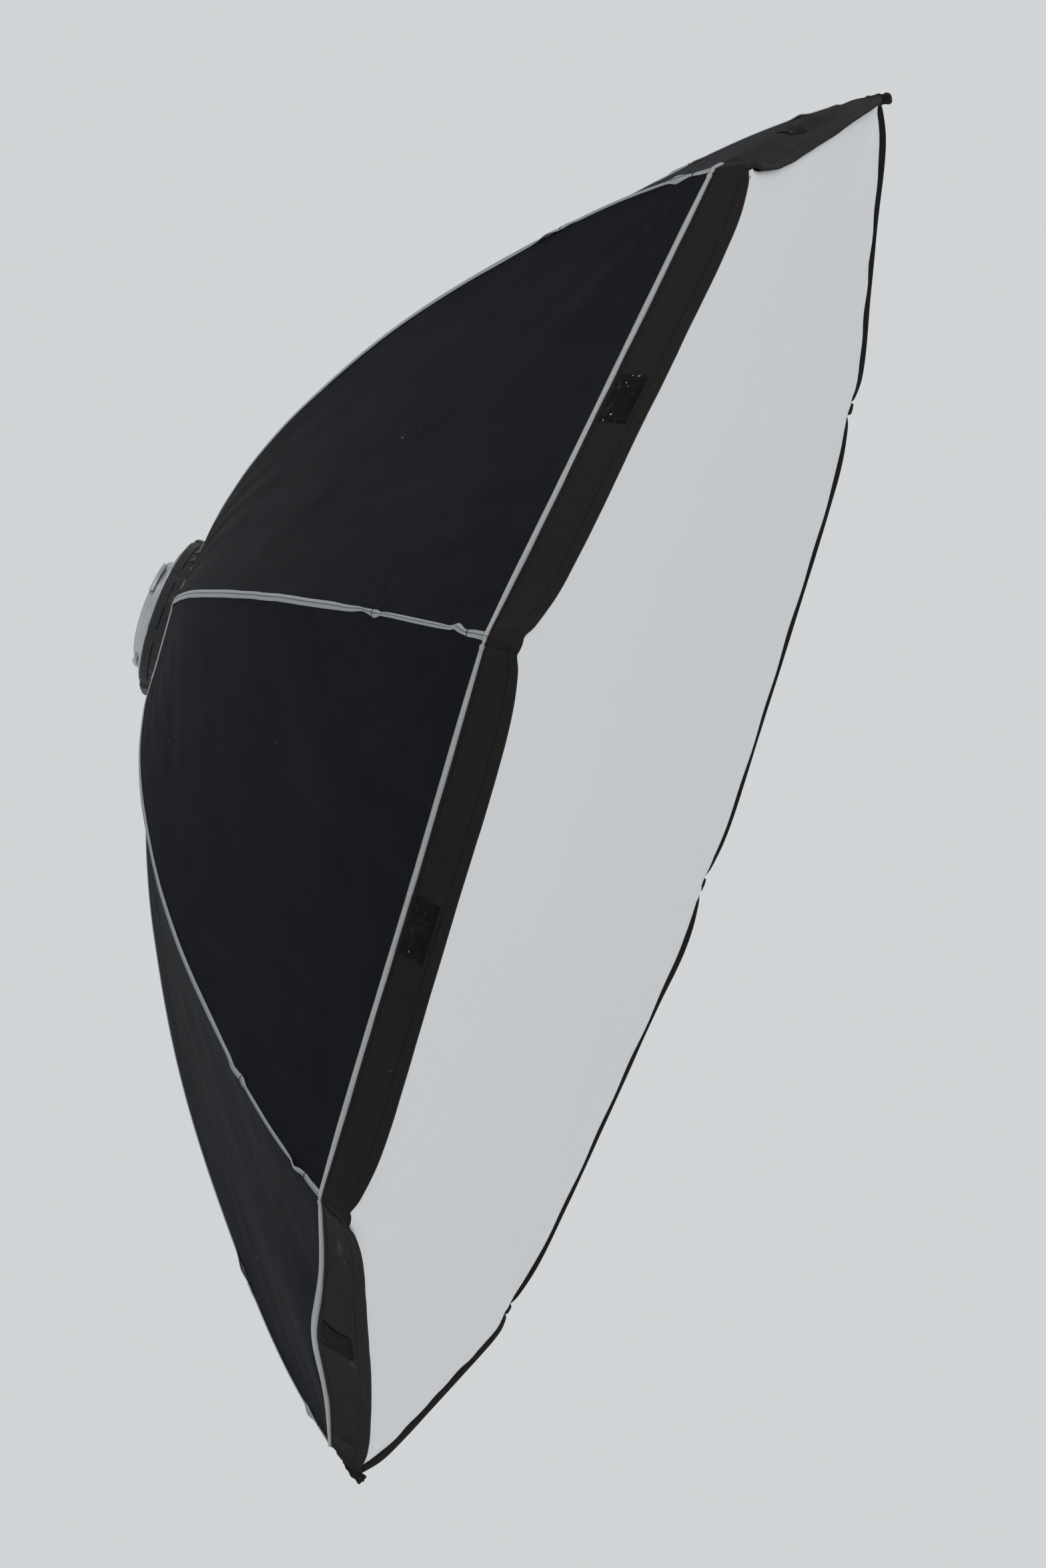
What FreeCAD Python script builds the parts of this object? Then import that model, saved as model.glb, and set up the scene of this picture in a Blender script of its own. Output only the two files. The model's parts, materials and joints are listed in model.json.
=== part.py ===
import FreeCAD, Part
import math
import os

from FreeCAD import Vector

os.makedirs("parts", exist_ok=True)

# Octagonal softbox with a quick-fold speed ring. Millimetres.
# Frame: origin on the optical axis, in the face that seats on the flash head.
# -Y is the direction of the light, +Z is up, +X is to the right when looking along +Y.
# A repeated piece is drawn once at the top (+Z), on a rib or on the middle of a side,
# and turned about Y to its places. Angles run counter-clockwise from the top, seen
# from the front.

SIDES = 8
STEP_DEG = 360.0 / SIDES
HALF = math.radians(STEP_DEG / 2)
COS_HALF, SIN_HALF = math.cos(HALF), math.sin(HALF)

# Outer surface of the fabric in the plane of a rib: radius, y. Hub edge first, rim last.
RIB_PROFILE = [
    (98.0, -26.0), (134.5, -34.4), (171.0, -45.9), (206.5, -59.0), (240.5, -74.0),
    (273.5, -90.3), (305.0, -107.9), (367.0, -145.2), (426.5, -186.0), (484.0, -231.2),
    (539.0, -278.8), (592.5, -328.0), (643.5, -381.0), (690.5, -440.0),
]
HUB_R, HUB_Y = RIB_PROFILE[0]
EDGE_R, EDGE_Y = RIB_PROFILE[-1]
RIM_R, RIM_Y = 710.0, -479.0   # front corners of the lip
HUB_LEAN_DEG = 78.0            # rib direction at the hub, measured from the light's axis
PIN_BACK = 8.0                 # hinge pin behind the start of the fabric, along the rod
ROD_OFFSET_HUB = 10.5          # rod centre below the fabric's outer surface, at the hub
ROD_R = 3.5
ROD_START = 15.0               # rod's rear end, from the hinge pin
FIT_GAP = 0.05                 # radial clearance of close fits

ORIGIN = Vector(0, 0, 0)
AXIS = Vector(0, 1, 0)
ACROSS = Vector(1, 0, 0)

# Room for the tools that trim pieces
TRIM_R = 900.0
TRIM_FRONT, TRIM_REAR = -700, 200
SHEET_WIDTH = 640              # sides are drawn this wide before they are trimmed


# ------------------------------------------------------------------ helpers
def at(radius, y, x=0.0):
    """A point at a radius on the top rib, or x beside it."""
    return Vector(x, y, radius)


def inward(direction):
    """Square to a direction in the YZ plane, towards the axis and the front."""
    return Vector(0, -direction.z, direction.y)


def turned(shape, degrees):
    copy = shape.copy()
    copy.rotate(ORIGIN, AXIS, -degrees)
    return copy


def on_ribs(shape):
    return [turned(shape, STEP_DEG * k) for k in range(SIDES)]


def on_sides(shape):
    return [turned(shape, STEP_DEG * (k + 0.5)) for k in range(SIDES)]


def spline(points, **tangents):
    curve = Part.BSplineCurve()
    curve.interpolate(Points=points, **tangents)
    return curve


def polygon_face(corners):
    return Part.Face(Part.makePolygon(corners + corners[:1]))


def revolve(corners):
    """A ring about the axis from (radius, y) corners."""
    return polygon_face([Vector(r, y, 0) for r, y in corners]).revolve(ORIGIN, AXIS, 360)


def prism_xz(corners, y0, y1):
    """A prism along Y from (x, z) corners."""
    return polygon_face([Vector(x, y0, z) for x, z in corners]).extrude(Vector(0, y1 - y0, 0))


def widened(face):
    """A side's section extruded to the sheet width, centred on x = 0."""
    sheet = face.extrude(Vector(SHEET_WIDTH, 0, 0))
    sheet.translate(Vector(-SHEET_WIDTH / 2, 0, 0))
    return sheet


def cylinder(start, end, radius):
    along = end - start
    return Part.makeCylinder(radius, along.Length, start, along)


def radial_cylinder(r0, r1, radius, y, x=0.0):
    return cylinder(at(r0, y, x), at(r1, y, x), radius)


def wedge(gap):
    """Space between two rib planes, gap clear of each."""
    apex = gap / SIN_HALF
    half_width = TRIM_R * math.tan(HALF)
    corners = [(0, apex), (half_width, TRIM_R + apex), (-half_width, TRIM_R + apex)]
    return prism_xz(corners, TRIM_FRONT, TRIM_REAR)


def middle_trim(width):
    """Space for a strip of this width on the middle of the top side."""
    return Part.makeBox(width, TRIM_R, TRIM_R, Vector(-width / 2, -800, 0))


def octagon(radius, y0, y1):
    """A plate with its corners on the ribs."""
    angles = [2 * HALF * k for k in range(SIDES)]
    corners = [(radius * math.sin(a), radius * math.cos(a)) for a in angles]
    return prism_xz(corners, y0, y1)


def export(name, *shapes):
    solids = [solid for shape in shapes for solid in shape.Solids]
    result = solids[0] if len(solids) == 1 else Part.makeCompound(solids)
    result.exportStep("parts/" + name + ".step")


def export_each(name, shapes):
    for number, shape in enumerate(shapes, 1):
        export("%s_%d" % (name, number), shape)


# ------------------------------------------------------------------ rib and hinge lines
rib_curve = spline([at(r, y) for r, y in RIB_PROFILE])
RIB_FIRST, RIB_LAST = rib_curve.FirstParameter, rib_curve.LastParameter

hub_lean = math.radians(HUB_LEAN_DEG)
HUB_DIR = Vector(0, -math.cos(hub_lean), math.sin(hub_lean))
HUB_INWARD = inward(HUB_DIR)
PIN = at(HUB_R, HUB_Y) + HUB_INWARD * ROD_OFFSET_HUB - HUB_DIR * PIN_BACK


def rib_tangent(param):
    tangent = rib_curve.tangent(param)
    # the vector may come wrapped in a tuple
    tangent = tangent[0] if isinstance(tangent, (tuple, list)) else tangent
    return tangent.normalize()


def rib_params(count, cut_start, cut_end):
    """Evenly spread parameters that leave cut_start and cut_end of length off the two ends."""
    first = rib_curve.parameterAtDistance(cut_start, RIB_FIRST)
    last = rib_curve.parameterAtDistance(-cut_end, RIB_LAST)
    return [first + (last - first) * i / (count - 1) for i in range(count)]


# ------------------------------------------------------------------ fabric of the box
FABRIC_T = 1.2
SEAM_GAP = 0.1                 # fabric edge to rib plane
RIM_PIPING_R = 3.0
HUB_PIPING_R = 2.0
PIPING_GAP = 0.2
PANEL_STATIONS = 15
BINDING_W = 5.5                # on each side of the seam
BINDING_T = 0.9
BINDING_LIFT = 0.08            # clear of the fabric


def panel_point(param, offset):
    """A point of a side's mid-line, offset outside the outer surface."""
    point, tangent = rib_curve.value(param), rib_tangent(param)
    # a side is straight from rib to rib, so its middle lies nearer the axis
    middle = at(point.z * COS_HALF, point.y)
    direction = at(tangent.z * COS_HALF, tangent.y).normalize()
    return middle - inward(direction) * offset


def panel_sheet(inner_offset, outer_offset, cut_start, cut_end):
    """A curved sheet between two offsets, before it is trimmed to its width."""
    params = rib_params(PANEL_STATIONS, cut_start, cut_end)
    outer = [panel_point(param, outer_offset) for param in params]
    inner = [panel_point(param, inner_offset) for param in params]
    edges = [
        spline(outer).toShape(),
        Part.makeLine(outer[-1], inner[-1]),
        spline(inner).toShape(),
        Part.makeLine(inner[0], outer[0]),
    ]
    return widened(Part.Face(Part.Wire(Part.__sortEdges__(edges))))


def shell_panel():
    sheet = panel_sheet(-FABRIC_T, 0.0, HUB_PIPING_R + PIPING_GAP, RIM_PIPING_R + PIPING_GAP)
    return sheet.common(wedge(SEAM_GAP))


def seam_binding():
    """Tape over a seam: a half on each panel, joined along the rib."""
    sheet = panel_sheet(BINDING_LIFT, BINDING_LIFT + BINDING_T,
                        HUB_PIPING_R + 3.0, RIM_PIPING_R + 1.5)
    # a slab beside the rib at +X of the panel, as wide as one half of the tape
    inner, outer = [(SIN_HALF * r, COS_HALF * r) for r in (40, 780)]
    shift_x, shift_z = -COS_HALF * BINDING_W, SIN_HALF * BINDING_W
    corners = [inner, outer, (outer[0] + shift_x, outer[1] + shift_z),
               (inner[0] + shift_x, inner[1] + shift_z)]
    left = turned(sheet.common(prism_xz(corners, TRIM_FRONT, TRIM_REAR)), STEP_DEG / 2)
    return left.fuse(left.mirror(ORIGIN, ACROSS)).removeSplitter()


def piping(rib_r, y, radius):
    """Eight straight runs of cord, mitred at the ribs."""
    height = rib_r * COS_HALF
    run = cylinder(at(height, y, -400), at(height, y, 400), radius).common(wedge(0.0))
    runs = on_sides(run)
    ring = runs[0]
    for other in runs[1:]:
        ring = ring.fuse(other)
    return ring.removeSplitter()


export_each("shell_panel", on_sides(shell_panel()))
export("seam_binding", *on_ribs(seam_binding()))
export("rim_piping", piping(EDGE_R, EDGE_Y, RIM_PIPING_R))
export("hub_piping", piping(HUB_R, HUB_Y, HUB_PIPING_R))

# ------------------------------------------------------------------ lip, tapes and diffuser
LIP_T = 1.6
TAPE_W = 2 * 235               # loop tape and hem, along a side
PATCH_W = 50
DIFF_Y = -477.8                # back face of the diffuser
DIFF_T = 0.8
DIFF_R = 703.0
HEM_W = 20.0
HEM_BACK = 3.0                 # hem's front edge from the lip's

# Mid-line of a lip side, from the rim piping to the front edge
LIP_START = at(EDGE_R * COS_HALF, EDGE_Y)
LIP_SPAN = at(RIM_R * COS_HALF, RIM_Y) - LIP_START
LIP_LENGTH = LIP_SPAN.Length
LIP_SIDE_DIR = Vector(LIP_SPAN).normalize()


def lip_strip(along0, along1, inner_offset, outer_offset, trim):
    """A flat strip along a lip side; offsets count outwards from the lip's outer face."""
    places = [(along0, outer_offset), (along1, outer_offset),
              (along1, inner_offset), (along0, inner_offset)]
    corners = [LIP_START + LIP_SIDE_DIR * along - inward(LIP_SIDE_DIR) * offset
               for along, offset in places]
    return widened(polygon_face(corners)).common(trim)


def diffuser_hem():
    front = LIP_LENGTH - HEM_BACK
    hem = lip_strip(front - HEM_W, front, -LIP_T - 2.4, -LIP_T - 1.4, middle_trim(TAPE_W))
    # the hem starts just behind the sheet
    depth = 200
    return hem.cut(Part.makeBox(1000, depth, 1000, Vector(-500, DIFF_Y - depth + 0.1, 0)))


lip_band = lip_strip(RIM_PIPING_R + PIPING_GAP, LIP_LENGTH, -LIP_T, 0.0, wedge(SEAM_GAP))
export("lip_band", *on_sides(lip_band))

# Patches of hook tape outside the lip
grid_patch = lip_strip(7.0, 31.0, 0.1, 1.3, middle_trim(PATCH_W))
export("grid_patches", *on_sides(grid_patch))

# Loop tape inside the lip, which holds the diffuser
loop_tape = lip_strip(LIP_LENGTH - 26.0, LIP_LENGTH - 6.0, -LIP_T - 1.1, -LIP_T - 0.1,
                      middle_trim(TAPE_W))
export("loop_tape", *on_sides(loop_tape))

export("front_diffuser", octagon(DIFF_R, DIFF_Y, DIFF_Y - DIFF_T))
export("diffuser_hem", *on_sides(diffuser_hem()))

# ------------------------------------------------------------------ rods, tips and pockets
ROD_STRAIGHT = 60.0            # straight length from the hinge pin
ROD_OFFSET_MID = 6.6           # rod centre below the outer surface of the fabric
ROD_OFFSET_TIP = 10.5
TIP_BACK = 20.0                # rod end to front corner, along the lip
TIP_R = 5.5
CAP_L = 16.0
POCKET_L = 22.0
POCKET_GAP = 0.4
POCKET_OUT = TIP_R + 2.0

# Centre line of the rod: straight from the hinge, then a curve under the fabric
straight_end = PIN + HUB_DIR * ROD_STRAIGHT
rod_points = [straight_end]
for param in rib_params(10, 118.0, 30.0):
    rod_points.append(rib_curve.value(param) + inward(rib_tangent(param)) * ROD_OFFSET_MID)
lip_dir = at(RIM_R - EDGE_R, RIM_Y - EDGE_Y).normalize()
ROD_END = at(RIM_R, RIM_Y) - lip_dir * TIP_BACK + inward(lip_dir) * ROD_OFFSET_TIP
rod_points.append(ROD_END)
last_chord_dir = (ROD_END - rod_points[-2]).normalize()
END_DIR = (last_chord_dir * 0.5 + lip_dir * 0.5).normalize()


def rod():
    chords = [(b - a).Length for a, b in zip(rod_points, rod_points[1:])]
    mean_chord = sum(chords) / len(chords)
    curve = spline(rod_points, InitialTangent=HUB_DIR * mean_chord,
                   FinalTangent=END_DIR * mean_chord)
    start = PIN + HUB_DIR * ROD_START
    path = Part.Wire([Part.makeLine(start, straight_end), curve.toShape()])
    section = Part.Wire(Part.makeCircle(ROD_R, start, HUB_DIR))
    swept = path.makePipeShell([section], True, True)
    # the sweep may come back as a shell
    return swept if swept.ShapeType == "Solid" else Part.makeSolid(swept)


def round_nosed(radius, length):
    """A cylinder that ends in a ball at the rod's end."""
    body = cylinder(ROD_END - END_DIR * length, ROD_END, radius)
    return body.fuse(Part.makeSphere(radius, ROD_END)).removeSplitter()


def rod_tip():
    """Cap over the rod's end, where the rod is nearly straight."""
    bore = cylinder(ROD_END - END_DIR * (CAP_L + 1), ROD_END + END_DIR * 0.2, ROD_R + 0.35)
    return round_nosed(TIP_R, CAP_L).cut(bore)


# Pocket in each corner of the lip
corner_pocket = round_nosed(POCKET_OUT, POCKET_L).cut(
    round_nosed(TIP_R + POCKET_GAP, POCKET_L + 1))

export_each("rod", on_ribs(rod()))
export_each("rod_tip", on_ribs(rod_tip()))
export("corner_pockets", *on_ribs(corner_pocket))

# ------------------------------------------------------------------ hinged sockets and catches
PIN_R = 2.5
EAR_IN, EAR_OUT = 5.3, 9.3     # ear faces either side of the rib plane
EAR_R = 7.5
TONGUE_HALF = 5.0
TONGUE_R = 7.0
SOCKET_L = 52.0
BARREL_START = 11.0
BEAD_L = 3.0
CATCH_RIB_PITCH, CATCH_GROOVE_W = 2.7, 1.2


def hinge_point(along, front, x=0.0):
    """A point along the rod from the pin, to the front of it and x across."""
    point = PIN + HUB_DIR * along + HUB_INWARD * front
    return Vector(x, point.y, point.z)


def block(along0, along1, front0, front1, half_width):
    places = [(along0, front0), (along1, front0), (along1, front1), (along0, front1)]
    face = polygon_face([hinge_point(a, f, -half_width) for a, f in places])
    return face.extrude(Vector(2 * half_width, 0, 0))


def pin_cylinder(radius, x0, x1):
    """A cylinder on the hinge pin's centre line."""
    return Part.makeCylinder(radius, x1 - x0, hinge_point(0, 0, x0), ACROSS)


def rod_cylinder(radius, start, length):
    """A cylinder on the rod's centre line."""
    return Part.makeCylinder(radius, length, hinge_point(start, 0), HUB_DIR)


def rod_socket():
    flat = TONGUE_R - 0.6
    tongue = pin_cylinder(TONGUE_R, -TONGUE_HALF, TONGUE_HALF)
    tongue = tongue.fuse(block(0, 16, -flat, flat, TONGUE_HALF))
    barrel = Part.makeCone(7.3, 5.9, SOCKET_L - BARREL_START,
                           hinge_point(BARREL_START, 0), HUB_DIR)
    collar = rod_cylinder(7.6, BARREL_START, 5.0)
    bead = rod_cylinder(6.5, SOCKET_L - BEAD_L, BEAD_L)
    saddle = block(15, 44, 3.0, 7.4, 4.2)
    socket = tongue.fuse(barrel).fuse(collar).fuse(bead).fuse(saddle)
    socket = socket.cut(rod_cylinder(ROD_R + FIT_GAP, ROD_START - 0.4, SOCKET_L))
    socket = socket.cut(pin_cylinder(PIN_R + FIT_GAP, -20, 20))
    catch_slot = block(17.6, 42.0, 5.4, 9.0, 2.3)
    return socket.cut(catch_slot).removeSplitter()


def rod_catch():
    thumb_pad = block(18, 35, 7.6, 11.6, 4.4)
    slot_key = block(18, 34, 5.6, 7.7, 2.0)
    nose = block(10.2, 18.2, 8.2, 10.6, 2.6)
    catch = thumb_pad.fuse(slot_key).fuse(nose)
    for i in range(5):
        start = 21.0 + CATCH_RIB_PITCH * i
        catch = catch.cut(block(start, start + CATCH_GROOVE_W, 10.8, 12.0, 5))
    return catch.removeSplitter()


def hinge_pin():
    half_length = EAR_OUT + 0.8
    head = pin_cylinder(PIN_R + 1.2, EAR_OUT + 0.2, EAR_OUT + 1.6)
    return pin_cylinder(PIN_R, -half_length, half_length).fuse(head).removeSplitter()


export_each("rod_socket", on_ribs(rod_socket()))
export_each("rod_catch", on_ribs(rod_catch()))
export("hinge_pins", *on_ribs(hinge_pin()))

# ------------------------------------------------------------------ fixed insert
BORE_R = 46.0
NECK_R = 52.0
NECK_L = 9.0
LUG_R = 57.0
LUG_DEG = 36.0
LUG_COUNT = 3
FLANGE_R = 72.0
FLANGE_T = 4.0
BEARING_IN, BEARING_OUT = 58.0, 66.0
BEARING_FRONT = -22.0
SHOULDER_R = 72.0
SHOULDER_REAR = BEARING_FRONT + 4.0
GLIDE_OUT = 68.05
SCREW_PCD_R = 62.0             # radius of the screw circle
SCREW_R = 2.0
SCREW_HEAD_R = 3.5
SCREW_COUNT = 4
SCREW_ANGLES = [360.0 / SCREW_COUNT * i + 22.5 for i in range(SCREW_COUNT)]
HEX_R = 1.6                    # corner radius of the screw's hex recess


def screw_cylinder(y0, y1, radius):
    return cylinder(at(SCREW_PCD_R, y0), at(SCREW_PCD_R, y1), radius)


def bayonet_flange():
    flange = revolve([
        (BORE_R, -FLANGE_T), (FLANGE_R, -FLANGE_T), (FLANGE_R, -0.6), (FLANGE_R - 0.6, 0),
        (NECK_R, 0), (NECK_R, NECK_L), (NECK_R - 1.5, NECK_L), (NECK_R - 1.5, 14.0),
        (BORE_R, 14.0)])
    lug_in, lug_front, lug_rear = NECK_R - 3.0, NECK_L + 0.4, 13.0
    lug_ring = revolve([(lug_in, lug_front), (LUG_R, lug_front),
                        (LUG_R, lug_rear), (lug_in, lug_rear)])
    half_angle = math.radians(LUG_DEG / 2)
    x, z = 90 * math.sin(half_angle), 90 * math.cos(half_angle)
    sector = prism_xz([(0, 0), (x, z), (-x, z)], -5, 20)
    for i in range(LUG_COUNT):
        flange = flange.fuse(lug_ring.common(turned(sector, 360 / LUG_COUNT * i + 60)))
    for angle in SCREW_ANGLES:
        flange = flange.cut(turned(screw_cylinder(-10, -0.9, SCREW_R + FIT_GAP), angle))
    return flange.removeSplitter()


def bearing_ring():
    bearing = revolve([
        (BEARING_IN, -FLANGE_T), (BEARING_OUT, -FLANGE_T), (BEARING_OUT, SHOULDER_REAR),
        (SHOULDER_R, SHOULDER_REAR), (SHOULDER_R, BEARING_FRONT + 0.8),
        (SHOULDER_R - 0.8, BEARING_FRONT), (BEARING_IN, BEARING_FRONT)])
    hole = screw_cylinder(-30, 0, SCREW_R + 0.15)
    counterbore = screw_cylinder(-30, BEARING_FRONT + 4.2, SCREW_HEAD_R + 0.2)
    for angle in SCREW_ANGLES:
        bearing = bearing.cut(turned(hole.fuse(counterbore), angle))
    return bearing.removeSplitter()


def glide_ring():
    """Thin sleeve between the bearing and the rotating ring."""
    inner, rear, front = BEARING_OUT + FIT_GAP, -FLANGE_T - 0.3, SHOULDER_REAR + 0.5
    return revolve([(inner, rear), (GLIDE_OUT, rear), (GLIDE_OUT, front), (inner, front)])


def insert_screw():
    head = screw_cylinder(BEARING_FRONT + 0.3, BEARING_FRONT + 4.1, SCREW_HEAD_R)
    screw = head.fuse(screw_cylinder(-18, -1.1, SCREW_R))
    angles = [math.radians(60 * i) for i in range(6)]
    hexagon = polygon_face([
        at(SCREW_PCD_R + HEX_R * math.cos(a), BEARING_FRONT + 0.2, HEX_R * math.sin(a))
        for a in angles])
    return screw.cut(hexagon.extrude(Vector(0, 2.1, 0))).removeSplitter()


export("bayonet_flange", bayonet_flange())
export("bearing_ring", bearing_ring())
export("glide_ring", glide_ring())
screw = insert_screw()
export("insert_screws", *[turned(screw, angle) for angle in SCREW_ANGLES])

# ------------------------------------------------------------------ rotating ring and lock
RING_BORE = GLIDE_OUT + 0.1
RING_OUT = 80.0
RING_REAR, RING_FRONT = -FLANGE_T - 0.4, -30.0
RECESS_R = SHOULDER_R + 1      # front recess around the bearing's shoulder
RECESS_REAR = SHOULDER_REAR + 0.4
GROOVE_R = RING_OUT - 1.2
FLUTE_R, FLUTE_CENTRE_R = 14.0, 91.5
KNOB_SIDE = 6                  # the side, from 0, that has the knob in place of a flute
KNOB_ANGLE = STEP_DEG * (KNOB_SIDE + 0.5)
KNOB_Y = -11.0
STUD_R = 3.0
BUSH_R = 5.0


def ear(x0, x1):
    # (radius, y) corners of the web that carries the eye
    corners = [(74.5, -29.0), (74.5, PIN.y - EAR_R), (PIN.z, PIN.y - EAR_R),
               (PIN.z, PIN.y + EAR_R), (84.0, -22.5), (79.0, -15.0), (77.0, -20.0)]
    root = polygon_face([at(r, y, x0) for r, y in corners]).extrude(Vector(x1 - x0, 0, 0))
    return root.fuse(pin_cylinder(EAR_R, x0, x1)).removeSplitter()


def rotating_ring():
    ring = revolve([
        (RING_BORE, RING_REAR), (RING_OUT - 1, RING_REAR), (RING_OUT, RING_REAR - 1),
        (RING_OUT, -13.0), (GROOVE_R, -14.0), (GROOVE_R, -17.0), (RING_OUT, -18.0),
        (RING_OUT, RING_FRONT + 1), (RING_OUT - 1, RING_FRONT), (RECESS_R, RING_FRONT),
        (RECESS_R, RECESS_REAR), (RING_BORE, RECESS_REAR)])
    ears = [ear(EAR_IN, EAR_OUT), ear(-EAR_OUT, -EAR_IN)]
    for k in range(SIDES):
        for one_ear in ears:
            ring = ring.fuse(turned(one_ear, STEP_DEG * k))
    for hole in on_ribs(pin_cylinder(PIN_R + FIT_GAP, -15, 15)):
        ring = ring.cut(hole)
    ring = ring.cut(turned(radial_cylinder(60, 90, BUSH_R + FIT_GAP, KNOB_Y), KNOB_ANGLE))
    # finger flutes between the ears
    flute = cylinder(at(FLUTE_CENTRE_R, RING_REAR + 5), at(FLUTE_CENTRE_R, RING_FRONT - 5),
                     FLUTE_R)
    for k, cutter in enumerate(on_sides(flute)):
        if k != KNOB_SIDE:
            ring = ring.cut(cutter)
    return ring.removeSplitter()


def lock_bush():
    bore = radial_cylinder(60, 90, STUD_R + FIT_GAP, KNOB_Y)
    return radial_cylinder(70.2, 80.4, BUSH_R, KNOB_Y).cut(bore)


def lock_knob():
    """Stud, neck and a lobed grip."""
    stud = radial_cylinder(69.0, 88.0, STUD_R, KNOB_Y)
    neck = radial_cylinder(82.0, 87.0, 5.0, KNOB_Y)
    grip = radial_cylinder(86.0, 102.0, 9.0, KNOB_Y)
    grip = grip.makeFillet(1.4, [e for e in grip.Edges if isinstance(e.Curve, Part.Circle)])
    for i in range(6):
        angle = math.radians(60 * i + 30)
        x, y = 11.6 * math.cos(angle), KNOB_Y + 11.6 * math.sin(angle)
        grip = grip.cut(radial_cylinder(80, 110, 4.0, y, x))
    return stud.fuse(neck).fuse(grip).removeSplitter()


export("rotating_ring", rotating_ring())
export("lock_bush", turned(lock_bush(), KNOB_ANGLE))
export("lock_knob", turned(lock_knob(), KNOB_ANGLE))

# ------------------------------------------------------------------ inner baffle and its cords
BAFFLE_R = 380.0
BAFFLE_Y = -252.0
BAFFLE_T = 0.8
CORD_X = 13.0                  # cords and loops stand beside the rib
CORD_Y = BAFFLE_Y + 2.2
SAMPLES = 400

# Radius of the fabric at the baffle: first sample along the rib at or past its depth
samples = [rib_curve.value(RIB_FIRST + (RIB_LAST - RIB_FIRST) * i / (SAMPLES - 1.0))
           for i in range(SAMPLES)]
wall_r = next(p.z for p in samples if p.y <= BAFFLE_Y) - CORD_X * math.tan(HALF)

cord = radial_cylinder(BAFFLE_R - 14.0, wall_r - 34.0, 1.5, CORD_Y, CORD_X)
bead = Part.makeSphere(4.0, at(wall_r - 32.0, CORD_Y, CORD_X))
loop = Part.makeTorus(5.5, 1.1, at(wall_r - 20.0, CORD_Y, CORD_X), AXIS)
tab = Part.makeBox(9.0, 2.4, 7.4, Vector(CORD_X - 4.5, CORD_Y - 1.2, wall_r - 16.0))

export("inner_baffle", octagon(BAFFLE_R, BAFFLE_Y, BAFFLE_Y - BAFFLE_T))
export("baffle_cords", *on_ribs(cord.fuse(bead).removeSplitter()))
export("baffle_loops", *on_ribs(loop.fuse(tab).removeSplitter()))
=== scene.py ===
import json
import math

import bpy
import numpy as np
from mathutils import Matrix, Vector


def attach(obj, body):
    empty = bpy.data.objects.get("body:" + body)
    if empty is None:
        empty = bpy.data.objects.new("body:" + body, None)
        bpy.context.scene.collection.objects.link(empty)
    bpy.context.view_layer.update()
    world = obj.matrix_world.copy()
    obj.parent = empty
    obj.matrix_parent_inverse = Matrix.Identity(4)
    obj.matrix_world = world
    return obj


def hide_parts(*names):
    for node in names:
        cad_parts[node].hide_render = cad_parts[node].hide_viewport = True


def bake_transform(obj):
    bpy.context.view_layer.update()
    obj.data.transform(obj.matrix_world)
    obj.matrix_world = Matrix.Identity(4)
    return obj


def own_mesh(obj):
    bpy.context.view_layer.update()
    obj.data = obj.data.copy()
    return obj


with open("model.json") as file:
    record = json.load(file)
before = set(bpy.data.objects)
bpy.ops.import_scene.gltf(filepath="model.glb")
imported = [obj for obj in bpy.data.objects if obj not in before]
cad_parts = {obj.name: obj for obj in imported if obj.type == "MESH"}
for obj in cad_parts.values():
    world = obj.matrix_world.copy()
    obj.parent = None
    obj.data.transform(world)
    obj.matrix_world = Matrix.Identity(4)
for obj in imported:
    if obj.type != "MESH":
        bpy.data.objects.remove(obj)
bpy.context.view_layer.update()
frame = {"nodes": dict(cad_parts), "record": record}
RECORD = frame["record"]
NODES = frame["nodes"]

# ------------------------------------------------------------------ the frame's dimensions, in metres
SIDES = 8
STEP = 2 * math.pi / SIDES
HALF = STEP / 2
CH = math.cos(HALF)
YV = np.array([0.0, 1.0, 0.0])
RIB = np.array([
    (98.0, -26.0), (134.5, -34.4), (171.0, -45.9), (206.5, -59.0), (240.5, -74.0),
    (273.5, -90.3), (305.0, -107.9), (367.0, -145.2), (426.5, -186.0), (484.0, -231.2),
    (539.0, -278.8), (592.5, -328.0), (643.5, -381.0), (690.5, -440.0)]) / 1000.0
RIM_R, RIM_Y = 0.710, -0.479


def rib_dir(k):
    a = STEP * k
    return np.array([-math.sin(a), 0.0, math.cos(a)])


def rib_tan(k):
    a = STEP * k
    return np.array([math.cos(a), 0.0, math.sin(a)])


def smooth(x):
    x = np.clip(x, 0.0, 1.0)
    return x * x * (3 - 2 * x)


# Natural cubic spline through the rib's points, sampled by length
def natural(points):
    n = len(points)
    t = np.r_[0, np.cumsum(np.linalg.norm(np.diff(points, axis=0), axis=1))]
    h = np.diff(t)
    A, B = np.eye(n), np.zeros((n, 2))
    for i in range(1, n - 1):
        A[i, i - 1], A[i, i], A[i, i + 1] = h[i - 1], 2 * (h[i - 1] + h[i]), h[i]
        B[i] = 6 * ((points[i + 1] - points[i]) / h[i] - (points[i] - points[i - 1]) / h[i - 1])
    M = np.linalg.solve(A, B)
    x = np.linspace(0, t[-1], 4001)
    i = np.clip(np.searchsorted(t, x) - 1, 0, n - 2)
    a, b, hh = (t[i + 1] - x)[:, None], (x - t[i])[:, None], h[i][:, None]
    return (M[i] * a ** 3 + M[i + 1] * b ** 3) / (6 * hh) + (points[i] / hh - M[i] * hh / 6) * a + (points[i + 1] / hh - M[i + 1] * hh / 6) * b


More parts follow.
